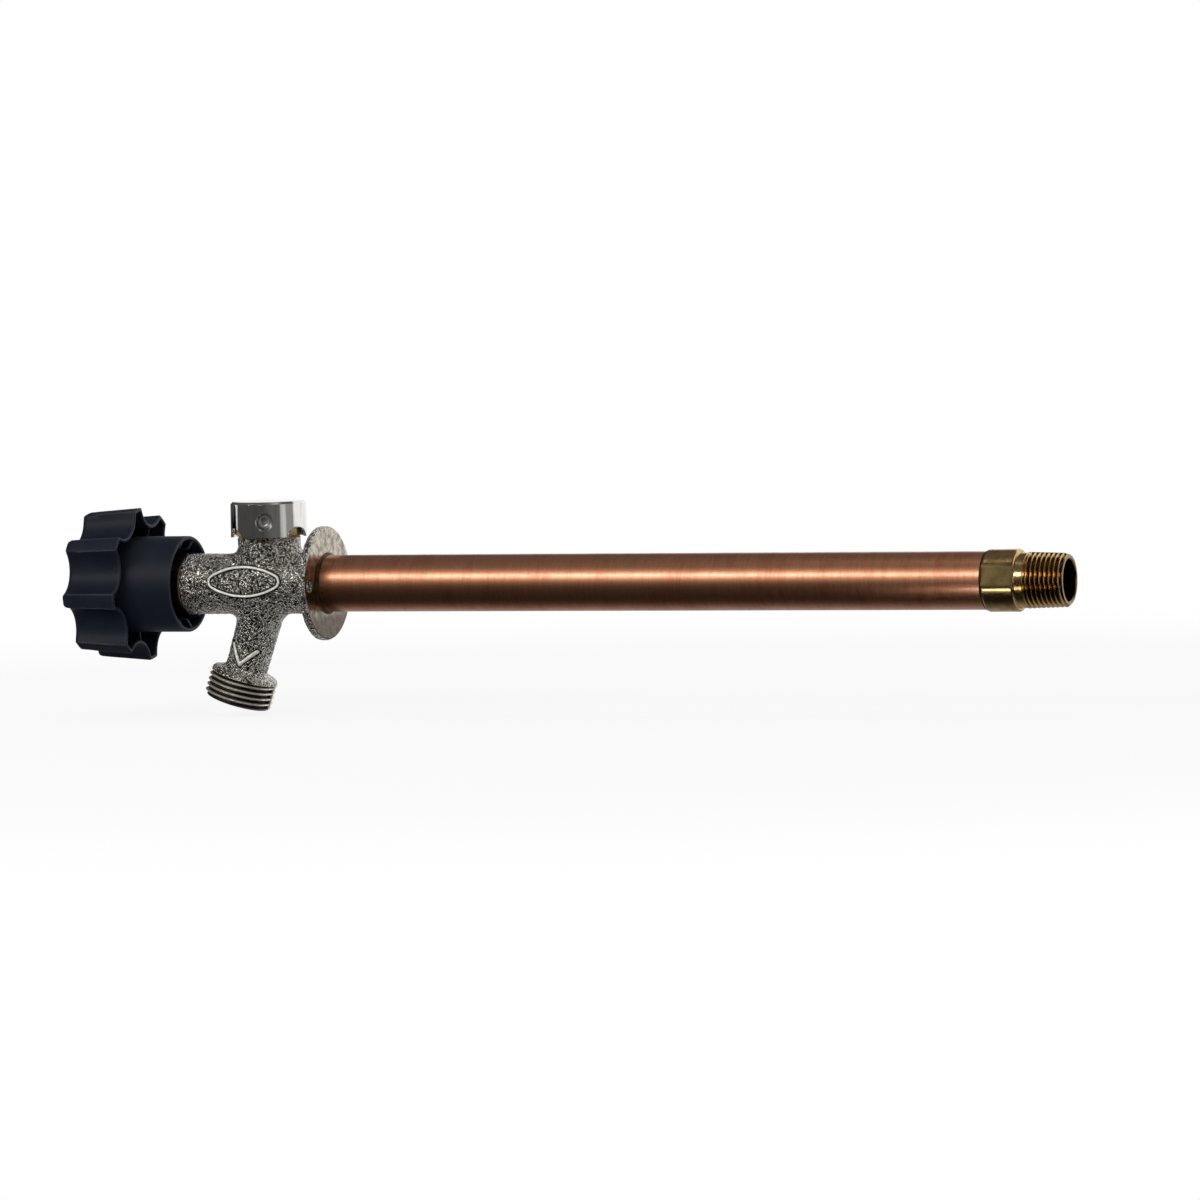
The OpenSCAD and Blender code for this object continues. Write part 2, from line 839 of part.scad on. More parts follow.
// Scalloped taper: r at the rear rim, with the scallops' own radius
module lobed_taper(r, scallop, height, edge) {
    top_r = r - (height - edge) * tan(knob_draft);
    difference() {
        rotate_extrude($fn = 128) {
            polygon([[0, 0], [r, 0], [top_r, height - edge], [top_r - edge, height], [0, height]]);
            translate([top_r - edge, height - edge]) circle(r = edge);
        }
        for (k = [0:lobes - 1])
            rotate([0, 0, lobe_angle(k) + 180 / lobes])
                translate([knob_r - scallop_depth + scallop_r, 0, 0])
                    rotate([0, -knob_draft, 0])
                        translate([0, 0, -2 * cut])
                            cylinder(h = height + 6 * cut, r = scallop);
    }
}

// Web inside one lobe, between the skirt and the lobe's wall
module lobe_web(head_h) {
    web_z = 5;
    far_r = knob_r - knob_wall / 2 - head_h * tan(knob_draft);
    rotate([90, 0, 0])
        linear_extrude(rib_t, center = true)
            polygon([
                [skirt_r - knob_wall / 2, web_z], [far_r, web_z],
                [far_r, head_h - front_wall / 2], [skirt_r - knob_wall / 2, head_h - front_wall / 2]
            ]);
}

// Rib inside the skirt, which widens to the hub deep in the knob
module skirt_rib() {
    tip_r = skirt_ir - skirt_rib_h;
    step_z = hub_z + 12;
    top_z = knob_len - front_wall / 2;
    rotate([90, 0, 0])
        linear_extrude(rib_t, center = true)
            polygon([
                [skirt_ir + knob_wall / 2, 1.5], [skirt_ir, 1.5], [tip_r, 1.5 + skirt_rib_h / 2],
                [tip_r, step_z], [hub_r - 1, step_z + 4], [hub_r - 1, top_z],
                [skirt_ir + knob_wall / 2, top_z]
            ]);
}

module handle() {
    head_h = knob_len - head_z;
    square_hole = square_w + 2 * thread_gap;
    color([0.13, 0.14, 0.18])
        at_knob()
            difference() {
                union() {
                    translate([0, 0, head_z])
                        difference() {
                            lobed_taper(knob_r, scallop_r, head_h, knob_round);
                            difference() {
                                translate([0, 0, -cut])
                                    lobed_taper(
                                        knob_r - knob_wall + cut * tan(knob_draft), scallop_r + knob_wall,
                                        head_h - front_wall + cut, knob_round / 2
                                    );
                                cylinder(h = head_h, r = skirt_r);
                            }
                            translate([0, 0, -cut])
                                cylinder(h = head_h - front_wall + cut, r = skirt_ir);
                        }
                    difference() {
                        cylinder(h = head_z + cut, r = skirt_r);
                        translate([0, 0, -cut])
                            cylinder(h = head_z + 3 * cut, r = skirt_ir);
                    }
                    translate([0, 0, hub_z])
                        cylinder(h = knob_len - hub_z - front_wall / 2, r = hub_r);
                    for (k = [0:lobes - 1])
                        rotate([0, 0, lobe_angle(k)])
                            translate([0, 0, head_z])
                                lobe_web(head_h);
                    for (k = [0:skirt_ribs - 1])
                        rotate([0, 0, lobe_turn + 360 / skirt_ribs * k])
                            skirt_rib();
                }
                translate([0, 0, hub_z - cut])
                    cylinder(h = spindle_end_z - square_len - hub_z + cut, r = spindle_r + thread_gap);
                translate([-square_hole / 2, -square_hole / 2, spindle_end_z - square_len - 0.01])
                    cube([square_hole, square_hole, square_len + 0.3]);
                cylinder(h = knob_len, r = handle_screw_r + slide_gap);
                translate([0, 0, screw_seat_z])
                    cylinder(h = knob_len, r = handle_screw_r + 4.6);
            }
}

module handle_washer() {
    color("silver")
        at_knob()
            translate([0, 0, screw_seat_z])
                difference() {
                    cylinder(h = handle_washer_t, r = handle_screw_r + 3.6);
                    translate([0, 0, -cut])
                        cylinder(h = handle_washer_t + 2 * cut, r = handle_screw_r + thread_gap);
                }
}

module handle_screw() {
    seat_z = screw_seat_z + handle_washer_t;
    head_r = handle_screw_r + 2.4;
    head_t = 1.9;
    color("silver")
        at_knob()
            difference() {
                union() {
                    translate([0, 0, spindle_end_z - square_len + 1])
                        cylinder(h = seat_z - spindle_end_z + square_len - 1, r = handle_screw_r);
                    translate([0, 0, seat_z])
                        cylinder(h = head_t, r1 = head_r, r2 = head_r - 1.2);
                }
                for (a = [0, 90])
                    rotate([0, 0, a])
                        translate([0, 0, seat_z + head_t])
                            cube([2 * head_r - 3, 1.1, 2.4], center = true);
            }
}

body();
supply_tube();
inlet_fitting();
cam_bush();
packing_washer();
packing_rings();
packing_nut();
nut_gasket();
vb_gasket();
vb_bonnet();
vb_cap();
vb_cap_screw();
vb_float();
vb_float_seal();
stem_guide();
spindle();
cam_pin();
stem_rod();
stem_tip();
thrust_washer();
seat_washer();
washer_screw();
handle();
handle_washer();
handle_screw();
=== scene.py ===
"""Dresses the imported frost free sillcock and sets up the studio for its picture.

Every length below is in millimetres unless its name ends in _m or _M; Shape, Studio and Graph write metres.
"""

import logging
import math
from dataclasses import dataclass, field
from enum import Enum
from typing import Callable, Dict, List, Mapping, Optional, Sequence, Tuple, Union

import bmesh
import bpy
import numpy as np
from mathutils import Matrix, Vector


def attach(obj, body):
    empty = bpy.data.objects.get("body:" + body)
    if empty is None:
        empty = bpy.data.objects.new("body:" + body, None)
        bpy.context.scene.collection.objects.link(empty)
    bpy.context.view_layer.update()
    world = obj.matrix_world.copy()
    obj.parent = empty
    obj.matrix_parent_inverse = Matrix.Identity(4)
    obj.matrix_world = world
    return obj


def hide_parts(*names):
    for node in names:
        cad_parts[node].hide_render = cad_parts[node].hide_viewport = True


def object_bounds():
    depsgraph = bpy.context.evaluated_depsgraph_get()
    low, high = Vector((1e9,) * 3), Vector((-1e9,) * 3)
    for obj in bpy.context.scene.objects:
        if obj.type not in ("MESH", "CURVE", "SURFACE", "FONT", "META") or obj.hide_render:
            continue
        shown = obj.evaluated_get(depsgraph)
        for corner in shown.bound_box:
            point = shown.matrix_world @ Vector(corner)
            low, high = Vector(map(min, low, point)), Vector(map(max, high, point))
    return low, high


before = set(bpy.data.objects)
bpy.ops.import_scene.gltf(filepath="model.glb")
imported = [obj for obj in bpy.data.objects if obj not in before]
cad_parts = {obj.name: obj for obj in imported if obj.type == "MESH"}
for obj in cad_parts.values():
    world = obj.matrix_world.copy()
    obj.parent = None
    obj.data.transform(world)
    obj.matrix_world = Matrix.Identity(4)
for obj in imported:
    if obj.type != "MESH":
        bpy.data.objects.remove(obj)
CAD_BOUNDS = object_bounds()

LOG = logging.getLogger("sillcock")
MM = 0.001
FULL_TURN = 2.0 * math.pi
THREAD_TAPER = 32.0  # a pipe thread's length, to which its radius shrinks by 1
SAME_POINT_M = 1e-7
FAR = 60.0  # a radius that no piece reaches
Array = np.ndarray
Pair = Tuple[float, float]
Triple = Tuple[float, float, float]
Operator = Callable[["Wire", "Term"], "Wire"]


def cos_sin(degrees: float) -> Pair:
    """The cosine and the sine of an angle in degrees."""
    turn = math.radians(degrees)
    return math.cos(turn), math.sin(turn)


def grey(level: float) -> Triple:
    """A colour without hue."""
    return level, level, level


@dataclass(frozen=True)
class HeadLines:
    """Where the spout, its thread, the raised oval and the flow mark lie, for the shapes and the finishes."""

    spout_x: float = -25.0
    tilt: float = 18.5
    hose_r: float = 13.49
    oval_x: float = -30.8
    oval_z: float = 1.5
    oval_len: float = 31.0
    oval_h: float = 12.5
    oval_line: float = 1.0
    mark_t: float = 32.9
    mark_len: float = 6.8
    mark_half: float = 5.2

    def oval_arcs(self) -> Triple:
        """The four arcs of the oval.

        Returns:
            The radius of its ends, half the distance between their centres, and how far past the long
            axis the centres of its long sides lie.
        """
        end = self.oval_h / 4.0
        half = self.oval_len / 2.0 - end
        return end, half, (half * half - (self.oval_h / 2.0 - end) ** 2) / (self.oval_h - 2.0 * end)


HEAD = HeadLines()


# Shader graphs


def maths(operation: str) -> Tuple[Operator, Operator]:
    """An operator on sockets.

    Args:
        operation: The name that Math and Vector Math share for it.

    Returns:
        The operator, and its reflected form.
    """

    def plain(wire: "Wire", other: "Term") -> "Wire":
        """The socket comes first."""
        return wire.graph.join(operation, wire, other)

    def reflected(wire: "Wire", other: "Term") -> "Wire":
        """The socket comes last."""
        return wire.graph.join(operation, other, wire)

    return plain, reflected


class Wire:
    """An output socket of a shader graph; arithmetic on it adds nodes."""

    __add__, __radd__ = maths("ADD")
    __sub__, __rsub__ = maths("SUBTRACT")
    __mul__, __rmul__ = maths("MULTIPLY")
    __truediv__, __rtruediv__ = maths("DIVIDE")
    __pow__, __rpow__ = maths("POWER")
    least = maths("MINIMUM")[0]
    most = maths("MAXIMUM")[0]

    def __init__(self, graph: "Graph", socket: bpy.types.NodeSocket) -> None:
        """Keeps the graph and the socket."""
        self.graph = graph
        self.socket = socket

    @property
    def wide(self) -> bool:
        """Whether the socket carries a colour or a vector."""
        return self.socket.type in {"RGBA", "VECTOR"}

    def size(self) -> "Wire":
        """A value without its sign."""
        return self.most(0.0 - self)

    def step(self, low: float, high: float) -> "Wire":
        """A smooth step.

        Args:
            low: Where the result is 0.
            high: Where the result is 1; it may be less than low.

        Returns:
            A value from 0 to 1.
        """
        settings = {"interpolation_type": "SMOOTHSTEP", "clamp": True}
        first, last = min(low, high), max(low, high)
        rise = self.graph.node("ShaderNodeMapRange", settings, {0: self, 1: first, 2: last})
        return rise if high >= low else 1.0 - rise


Term = Union[Wire, float, Sequence[float]]


class Graph:
    """A node tree that is written as Python expressions."""

    def __init__(self, tree: bpy.types.NodeTree) -> None:
        """Empties the tree and keeps it."""
        tree.nodes.clear()
        self.tree = tree

    def node(
        self,
        kind: str,
        settings: Optional[Mapping[str, object]] = None,
        inputs: Optional[Mapping[Union[int, str], Term]] = None,
        output: Union[int, str] = 0,
    ) -> Wire:
        """Adds any node.

        Args:
            kind: The node's type.
            settings: Its properties, which are set first.
            inputs: Values or links for its sockets, by number or name.
            output: The socket to return, by number or name.

        Returns:
            That output socket, or the first input of a node that has no output.
        """
        made = self.tree.nodes.new(kind)
        for name, value in (settings or {}).items():
            setattr(made, name, value)
        for key, term in (inputs or {}).items():
            socket = made.inputs[key]
            if isinstance(term, Wire):
                self.tree.links.new(term.socket, socket)
            elif socket.type == "VECTOR" and isinstance(term, (int, float)):
                socket.default_value = (term, term, term)
            elif socket.type == "RGBA":
                socket.default_value = (*tuple(term)[:3], 1.0)
            else:
                socket.default_value = term
        return Wire(self, made.outputs[output] if len(made.outputs) else made.inputs[0])

    def join(self, operation: str, first: Term, second: Term) -> Wire:
        """Adds the maths node for one operation.

        Args:
            operation: The name that Math and Vector Math share for it.
            first: The left term.
            second: The right term.

        Returns:
            The result's socket.
        """
        wide = any(isinstance(term, Wire) and term.wide for term in (first, second))
        kind = "ShaderNodeVectorMath" if wide else "ShaderNodeMath"
        return self.node(kind, {"operation": operation}, {0: first, 1: second})

    def place(self) -> Wire:
        """The point on the surface in the part's own frame, in millimetres."""
        return self.node("ShaderNodeTexCoord", output="Object") * (1.0 / MM)

    def axes(self, vector: Wire) -> Tuple[Wire, Wire, Wire]:
        """The three coordinates of a vector."""
        split = self.node("ShaderNodeSeparateXYZ", None, {0: vector})
        return tuple(Wire(self, socket) for socket in split.socket.node.outputs)

    def radius(self, first: Wire, second: Wire) -> Wire:
        """How far a point lies from an axis that is square to both coordinates."""
        return (first * first + second * second) ** 0.5

    def vector(self, x: Term, y: Term = 0.0, z: Term = 0.0) -> Wire:
        """A vector from its three coordinates."""
        return self.node("ShaderNodeCombineXYZ", None, {0: x, 1: y, 2: z})

    def dot(self, first: Term, second: Term) -> Wire:
        """The scalar product of two vectors."""
        return self.node("ShaderNodeVectorMath", {"operation": "DOT_PRODUCT"}, {0: first, 1: second}, 1)

    def ray(self, kind: str) -> Wire:
        """1 for one kind of ray, such as "Is Camera Ray", 0 for the others."""
        return self.node("ShaderNodeLightPath", output=kind)

    def noise(self, at: Wire, size: float, detail: float = 2.0, rough: float = 0.5) -> Wire:
        """Soft noise.

        Args:
            at: Where, in millimetres.
            size: The size of its largest blotches, in millimetres.
            detail: Octaves.
            rough: How strong the finer octaves are.

        Returns:
            A value round 0.5.
        """
        inputs = {"Vector": at, "Scale": 1.0 / size, "Detail": detail, "Roughness": rough}
        return self.node("ShaderNodeTexNoise", None, inputs)

    def blend(self, mask: Term, first: Term, second: Term) -> Wire:
        """The first colour where the mask is 0 and the second where it is 1."""
        settings = {"data_type": "RGBA", "clamp_factor": True}
        return self.node("ShaderNodeMix", settings, {0: mask, 6: first, 7: second}, 2)

    def bump(self, height: Wire, reach: float, over: Optional[Wire] = None) -> Wire:
        """A bumped normal.

        Args:
            height: The height, 0 to 1.
            reach: The real height of 1, in millimetres.
            over: A normal that the bump lies over.

        Returns:
            The normal.
        """
        inputs: Dict[Union[int, str], Term] = {"Height": height, "Distance": reach * MM, "Strength": 1.0}
        if over is not None:
            inputs["Normal"] = over
        return self.node("ShaderNodeBump", None, inputs)

    def edge(self, radius: float) -> Wire:
        """A normal that rounds sharp edges by a radius in millimetres."""
        return self.node("ShaderNodeBevel", {"samples": 4}, {"Radius": radius * MM})

    def rim(self, radius: float) -> Wire:
        """1 on outer edges sharper than a radius in millimetres, 0 on the flat."""
        plain = self.node("ShaderNodeNewGeometry", output="Normal")
        return self.dot(self.edge(radius), plain).step(0.992, 0.92)

    def surface(self, inputs: Mapping[str, Term]) -> None:
        """Ends the graph in a Principled shader with these inputs."""
        shader = self.node("ShaderNodeBsdfPrincipled", None, inputs)
        self.node("ShaderNodeOutputMaterial", None, {0: shader})


def new_graph(owner: Union[bpy.types.Material, bpy.types.World]) -> Graph:
    """The empty graph of a new material or world."""
    owner.use_nodes = True
    return Graph(owner.node_tree)


# Finishes


class Finish:
    """A finish: it writes its own material the first time that it is asked for."""

    label: str = "finish"

    def write(self, graph: Graph) -> None:
        """Writes the nodes; each finish has its own."""
        raise NotImplementedError

    def material(self) -> bpy.types.Material:
        """The material, made once.

        Returns:
            The material of this finish's label.
        """
        known = bpy.data.materials.get(self.label)
        if known is not None:
            return known
        made = bpy.data.materials.new(self.label)
        self.write(new_graph(made))
        return made


@dataclass(frozen=True)
class CastNickel(Finish):
    """Rough cast brass under nickel plate, smooth where the flange meets the wall."""

    label: str = "cast_nickel"
    bright: Triple = (0.98, 0.945, 0.865)
    # Painted shade: the colour of the hollows in the hammered grain.
    hollow_shade: Triple = (0.055, 0.045, 0.034)
    # Painted shade along the foot of the raised oval line and flow mark.
    crevice_shade: Triple = (0.02, 0.017, 0.014)
    face: Triple = (0.56, 0.52, 0.44)
    stain: Triple = (0.25, 0.21, 0.16)
    # Painted reflection of the copper tube: the lower wall face darker and browner, mottled.
    low_face_reflection: Triple = (0.15, 0.12, 0.09)
    dark_face_reflection: Triple = (0.085, 0.06, 0.045)
    wall_x: Pair = (-0.25, -0.05)
    reflection_z: Pair = (-7.0, -15.0)
    face_stained: Pair = (0.40, 0.62)
    low_stained: Pair = (0.35, 0.65)
    # Ranges of the painted highlight on the raised flow mark and oval line.
    arrow_highlight: Pair = (0.85, 0.55)
    # Ranges of the painted shade at the foot of the flow mark and of the oval line.
    arrow_foot_shade: Pair = (1.45, 1.0)
    arrow_y: Pair = (-3.0, -2.0)
    oval_highlight: Pair = (0.55, 0.35)
    oval_foot_shade: Pair = (1.15, 0.75)
    oval_y: Pair = (-10.5, -9.5)
    grain: float = 1.2
    swirl: float = 1.6
    middle: float = 0.53
    ridge: Pair = (0.15, 0.0)
    # Where the grain's hollows get painted shade.
    sunk: Pair = (0.055, 0.13)
    depth: float = 0.36
    matt: float = 0.08
    off_side: float = 9.0

    def arrow(self, graph: Graph, x: Wire, y: Wire, z: Wire) -> Wire:
        """Distance from the middle of the raised flow mark's arms.

        Args:
            graph: The graph.
            x: Coordinate along the barrel.
            y: Coordinate to the far side.
            z: Height.

        Returns:
            The distance, which is large off the near side.
        """
        c, s = cos_sin(HEAD.tilt)
        side = ((x - HEAD.spout_x) * c - z * s).size()
        rise = (x - HEAD.spout_x) * (-s) - z * c - HEAD.mark_t
        arm = math.hypot(HEAD.mark_half, HEAD.mark_len)
        across, down = HEAD.mark_half / arm, -HEAD.mark_len / arm
        part = (side * across + rise * down).most(0.0).least(arm)
        return graph.radius(side - part * across, rise - part * down) + y.step(*self.arrow_y) * self.off_side

    def oval(self, graph: Graph, x: Wire, y: Wire, z: Wire) -> Wire:
        """Distance from the middle of the oval's raised line.

        Args:
            graph: The graph.
            x: Coordinate along the barrel.
            y: Coordinate to the far side.
            z: Height.

        Returns:
            The distance, which is large off the near side.
        """
        end, half, rise = HEAD.oval_arcs()
        across, up = (x - HEAD.oval_x).size(), (z - HEAD.oval_z).size()
        tip = graph.radius(across - half, up) - end
        side = graph.radius(across, up + rise) - (rise + HEAD.oval_h / 2.0)
        beyond = (across * rise - (up + rise) * half).step(-0.01, 0.01)
        inside = side + beyond * (tip - side)
        return (inside + HEAD.oval_line / 2.0).size() + y.step(*self.oval_y) * self.off_side

    def write(self, graph: Graph) -> None:
        """Writes the hammered casting with painted shade in its hollows and at the foot of its raised lines, a
        painted highlight on those lines, and its plain wall face, whose lower part carries a painted
        reflection of the copper tube.

        Args:
            graph: The material's graph.
        """
        at = graph.place()
        x, y, z = graph.axes(at)
        wall = x.step(*self.wall_x)
        rough = 1.0 - wall
        arrow, oval = self.arrow(graph, x, y, z), self.oval(graph, x, y, z)
        # Painted highlight on the raised oval line and flow mark: no hollow shade there and a larger diffuse
        # share, so the lines show white.
        line_highlight = arrow.step(*self.arrow_highlight).most(oval.step(*self.oval_highlight))
        # Painted shade in the crease at the foot of the raised lines.
        foot = arrow.step(*self.arrow_foot_shade).most(oval.step(*self.oval_foot_shade)) * (1.0 - line_highlight)
        bent = at + graph.noise(at, 2.0) * self.swirl
        fine = graph.noise(at, 0.38, 3.0, 0.6)
        away = (graph.noise(bent, self.grain, 1.0, 0.5) + fine * 0.06 - self.middle).size()
        crest = away.step(*self.ridge)
        # Painted shade in the hollows of the grain, kept off the raised lines.
        hollow = away.step(*self.sunk) * (1.0 - line_highlight)
        slow = graph.noise(at, 7.0, 3.0, 0.55)
        worn = graph.noise(at, 3.2, 4.0, 0.65)
        mask = hollow * 0.84 + slow.step(0.45, 0.75) * 0.06
        metal = graph.blend(foot * 0.9, graph.blend(mask, self.bright, self.hollow_shade), self.crevice_shade)
        back = graph.blend(worn.step(*self.face_stained), self.face, self.stain)
        # Painted reflection of the copper tube on the lower part of the wall face.
        low = graph.blend(worn.step(*self.low_stained), self.low_face_reflection, self.dark_face_reflection)
        back = graph.blend(z.step(*self.reflection_z), back, low)
        graph.surface({
            "Base Color": graph.blend(wall, metal, back),
            # The raised lines take a larger diffuse share, as part of their painted highlight.
            "Metallic": 1.0 - rough * (1.0 - hollow) * (1.0 - foot) * (self.matt + line_highlight * 0.6),
            "Roughness": 0.11 + fine * 0.08 + line_highlight * 0.12 + worn * wall * 0.12,
            "Normal": graph.bump((crest * 0.9 + fine * 0.2) * rough * (1.0 - line_highlight * 0.8), self.depth),
        })


@dataclass(frozen=True)
class Turned(Finish):
    """A turned metal whose tool marks run round one axis."""

    label: str = "turned_brass"
    colour: Triple = (0.70, 0.48, 0.21)
    stain: Triple = (0.44, 0.26, 0.10)
    stained: Pair = (0.42, 0.72)
    rough: float = 0.22
    axis: str = "x"
    pitch: float = 0.18
    marks: float = 0.02
    metal: float = 1.0
    # Depth range over which painted shade fills a thread's grooves.
    sunk: Pair = (0.25, 1.0)

    def write(self, graph: Graph) -> None:
        """Writes fine rings along the axis over soft stains.

        Args:
            graph: The material's graph.
        """
        at = graph.place()
        along = graph.axes(at)["xyz".index(self.axis)]
        rings = graph.noise(graph.vector(along), self.pitch, 2.0)
        tone = graph.noise(at, 5.0, 4.0, 0.6)
        graph.surface({
            "Base Color": graph.blend(tone.step(*self.stained), self.colour, self.stain),
            "Metallic": self.metal,
            "Roughness": self.rough + tone * 0.12 + rings * 0.06,
            "Normal": graph.bump(rings, self.marks),
        })


@dataclass(frozen=True)
class PlatedThread(Turned):
    """Nickel plated hose thread, bright on its crests, with painted shade in its grooves."""

    label: str = "nickel_thread"
    colour: Triple = (0.93, 0.89, 0.80)
    stain: Triple = (0.62, 0.56, 0.45)
    stained: Pair = (0.4, 0.7)
    # Painted shade in the thread's grooves.
    groove_shade: Triple = (0.05, 0.04, 0.03)
    rough: float = 0.16
    marks: float = 0.16
    metal: float = 0.72
    bore_r: float = 10.0

    def write(self, graph: Graph) -> None:
        """Writes the plate, worn on the crests, round the spout's own axis.

        Args:
            graph: The material's graph.
        """
        at = graph.place()
        x, y, z = graph.axes(at)
        c, s = cos_sin(HEAD.tilt)
        reach = graph.radius((x - HEAD.spout_x) * c - z * s, y)
        # Mask of the grooves, where shade is painted.
        groove_shade = (HEAD.hose_r - reach).step(*self.sunk) * reach.step(self.bore_r, self.bore_r + 1.0)
        worn = graph.noise(at, 1.1, 3.0, 0.6)
        metal = graph.blend(worn.step(*self.stained), self.colour, self.stain)
        graph.surface({
            "Base Color": graph.blend(groove_shade * 0.9, metal, self.groove_shade),
            "Metallic": self.metal + groove_shade * 0.28,
            "Roughness": self.rough + worn * 0.14 + groove_shade * 0.15,
            "Normal": graph.bump(worn, self.marks),
        })


@dataclass(frozen=True)
class InletBrass(Turned):
    """Turned brass whose two wrench flats are milled rougher and painted darker as shade, with painted shade
    in its thread's grooves.
    """

    label: str = "inlet_brass"
    rough: float = 0.15
    # Painted shade on the wrench flats, which are also milled rougher.
    flat: Triple = (0.12, 0.088, 0.036)
    # Painted shade in the pipe thread's grooves.
    groove_shade: Triple = (0.16, 0.075, 0.03)
    crest_r: float = 10.67
    thread_x: float = 289.15
    edge_mm: float = 10.96
    turn: float = 12.0

    def write(self, graph: Graph) -> None:
        """Writes turned rings, and short mill marks on the flats.

        Args:
            graph: The material's graph.
        """
        at = graph.place()
        x, y, z = graph.axes(at)
        c, s = cos_sin(self.turn)
        off = y * c - z * s
        flats = off.most(0.0 - off).step(self.edge_mm, self.edge_mm + 0.05)
        rings = graph.noise(graph.vector(x), self.pitch, 2.0)
        mill = graph.noise(graph.vector(x * 0.3, y, z), 0.25, 3.0, 0.6)
        tone = graph.noise(at, 4.0, 4.0, 0.6)
        crest = self.crest_r - (x - self.thread_x) / THREAD_TAPER
        # Mask of the pipe thread's grooves, where shade is painted.
        groove_shade = (crest - graph.radius(y, z)).step(*self.sunk) * x.step(self.thread_x, self.thread_x + 0.6)
        metal = graph.blend(tone.step(*self.stained), self.colour, self.stain)
        metal = graph.blend(groove_shade * 0.85, metal, self.groove_shade)
        graph.surface({
            # The flats darkened: painted shade.
            "Base Color": graph.blend(flats * (0.8 + tone * 0.3), metal, self.flat),
            "Metallic": self.metal,
            "Roughness": self.rough + tone * 0.10 + flats * 0.26,
            "Normal": graph.bump(rings * (1.0 - flats) + mill * flats, self.marks),
        })


@dataclass(frozen=True)
class DrawnCopper(Finish):
    """Drawn copper, bright from rubbing round and round, with a duller film."""

    label: str = "drawn_copper"
    fresh: Triple = (0.82, 0.37, 0.20)
    film: Triple = (0.60, 0.22, 0.11)
    stretch: float = 0.12
    lacquer: float = 0.45
    marks: float = 0.035

    def write(self, graph: Graph) -> None:
        """Writes rings of rubbing over a blotchy film.

        Args:
            graph: The material's graph.
        """
        at = graph.place()
        x, y, z = graph.axes(at)
        drawn = graph.vector(x, y * self.stretch, z * self.stretch)
        rings = graph.noise(drawn, 0.55, 3.0, 0.7)
        wide = graph.noise(drawn, 3.5, 3.0, 0.6)
        film = graph.noise(at, 14.0, 3.0, 0.6)
        mask = (rings * 0.5 + wide * 0.3 + film * 0.4).step(0.45, 0.85)
        graph.surface({
            "Base Color": graph.blend(mask, self.fresh, self.film),
            "Metallic": 1.0,
            "Roughness": 0.27 + rings * 0.14 + film * 0.08,
            "Coat Weight": self.lacquer + (1.0 - mask) * self.lacquer,
            "Coat Roughness": 0.13,
            "Normal": graph.bump(rings + wide * 0.5, self.marks),
        })


@dataclass(frozen=True)
class Chrome(Finish):
    """Polished chrome with faint wipe marks."""

    label: str = "chrome"
    colour: Triple = (0.82, 0.80, 0.765)
    wiped: Triple = (0.66, 0.655, 0.64)
    rough: float = 0.06
    edge_mm: float = 0.25

    def write(self, graph: Graph) -> None:
        """Writes the plate and its wipe marks.

        Args:
            graph: The material's graph.
        """
        x, y, z = graph.axes(graph.place())
        wipe = graph.noise(graph.vector(x, y, z * 0.15), 1.4, 3.0, 0.6)
        graph.surface({
            "Base Color": graph.blend(wipe.step(0.45, 0.8), self.colour, self.wiped),
            "Metallic": 1.0,
            "Roughness": self.rough + wipe * 0.07,
            "Normal": graph.bump(wipe, 0.012, graph.edge(self.edge_mm)),
        })


@dataclass(frozen=True)
class Moulded(Finish):
    """Moulded plastic or rubber with a fine spark texture and a painted highlight on its rims."""

    label: str = "navy_plastic"
    colour: Triple = (0.0060, 0.0088, 0.0205)
    worn: Triple = (0.0115, 0.0155, 0.0300)
    # Painted highlight on the rims.
    rim: Triple = (0.055, 0.066, 0.088)
    rough: float = 0.42
    grain: float = 0.35
    depth: float = 0.02
    rim_highlight_mm: float = 1.0
    edge_mm: float = 0.2

    def write(self, graph: Graph) -> None:
        """Writes a fine grain with slow changes of gloss, and a painted highlight on the rims.

        Args:
            graph: The material's graph.
        """
        at = graph.place()
        grain = graph.noise(at, self.grain, 3.0, 0.6)
        slow = graph.noise(at, 11.0, 3.0, 0.55)
        ground = graph.blend(slow.step(0.35, 0.8) * 0.6 + grain * 0.15, self.colour, self.worn)
        graph.surface({
            # Paler rims: a painted highlight on sharp edges.
            "Base Color": graph.blend(graph.rim(self.rim_highlight_mm) * (0.35 + slow * 0.9), ground, self.rim),
            "Metallic": 0.0,
            "Specular IOR Level": 0.3,
            "Roughness": self.rough + slow * 0.12 + grain * 0.06,
            "Normal": graph.bump(grain, self.depth, graph.edge(self.edge_mm)),
        })


@dataclass(frozen=True)
class Fibre(Finish):
    """Pressed fibre of a gasket, or braided packing."""

    label: str = "fibre"
    colour: Triple = (0.03, 0.027, 0.024)
    fleck: Triple = (0.075, 0.067, 0.06)

    def write(self, graph: Graph) -> None:
        """Writes short flecks over a matt ground.

        Args:
            graph: The material's graph.
        """
        flecks = graph.noise(graph.place(), 0.5, 4.0, 0.7)
        graph.surface({
            "Base Color": graph.blend(flecks.step(0.45, 0.7), self.colour, self.fleck),
            "Roughness": 0.75 + flecks * 0.15,
            "Normal": graph.bump(flecks, 0.06),
        })


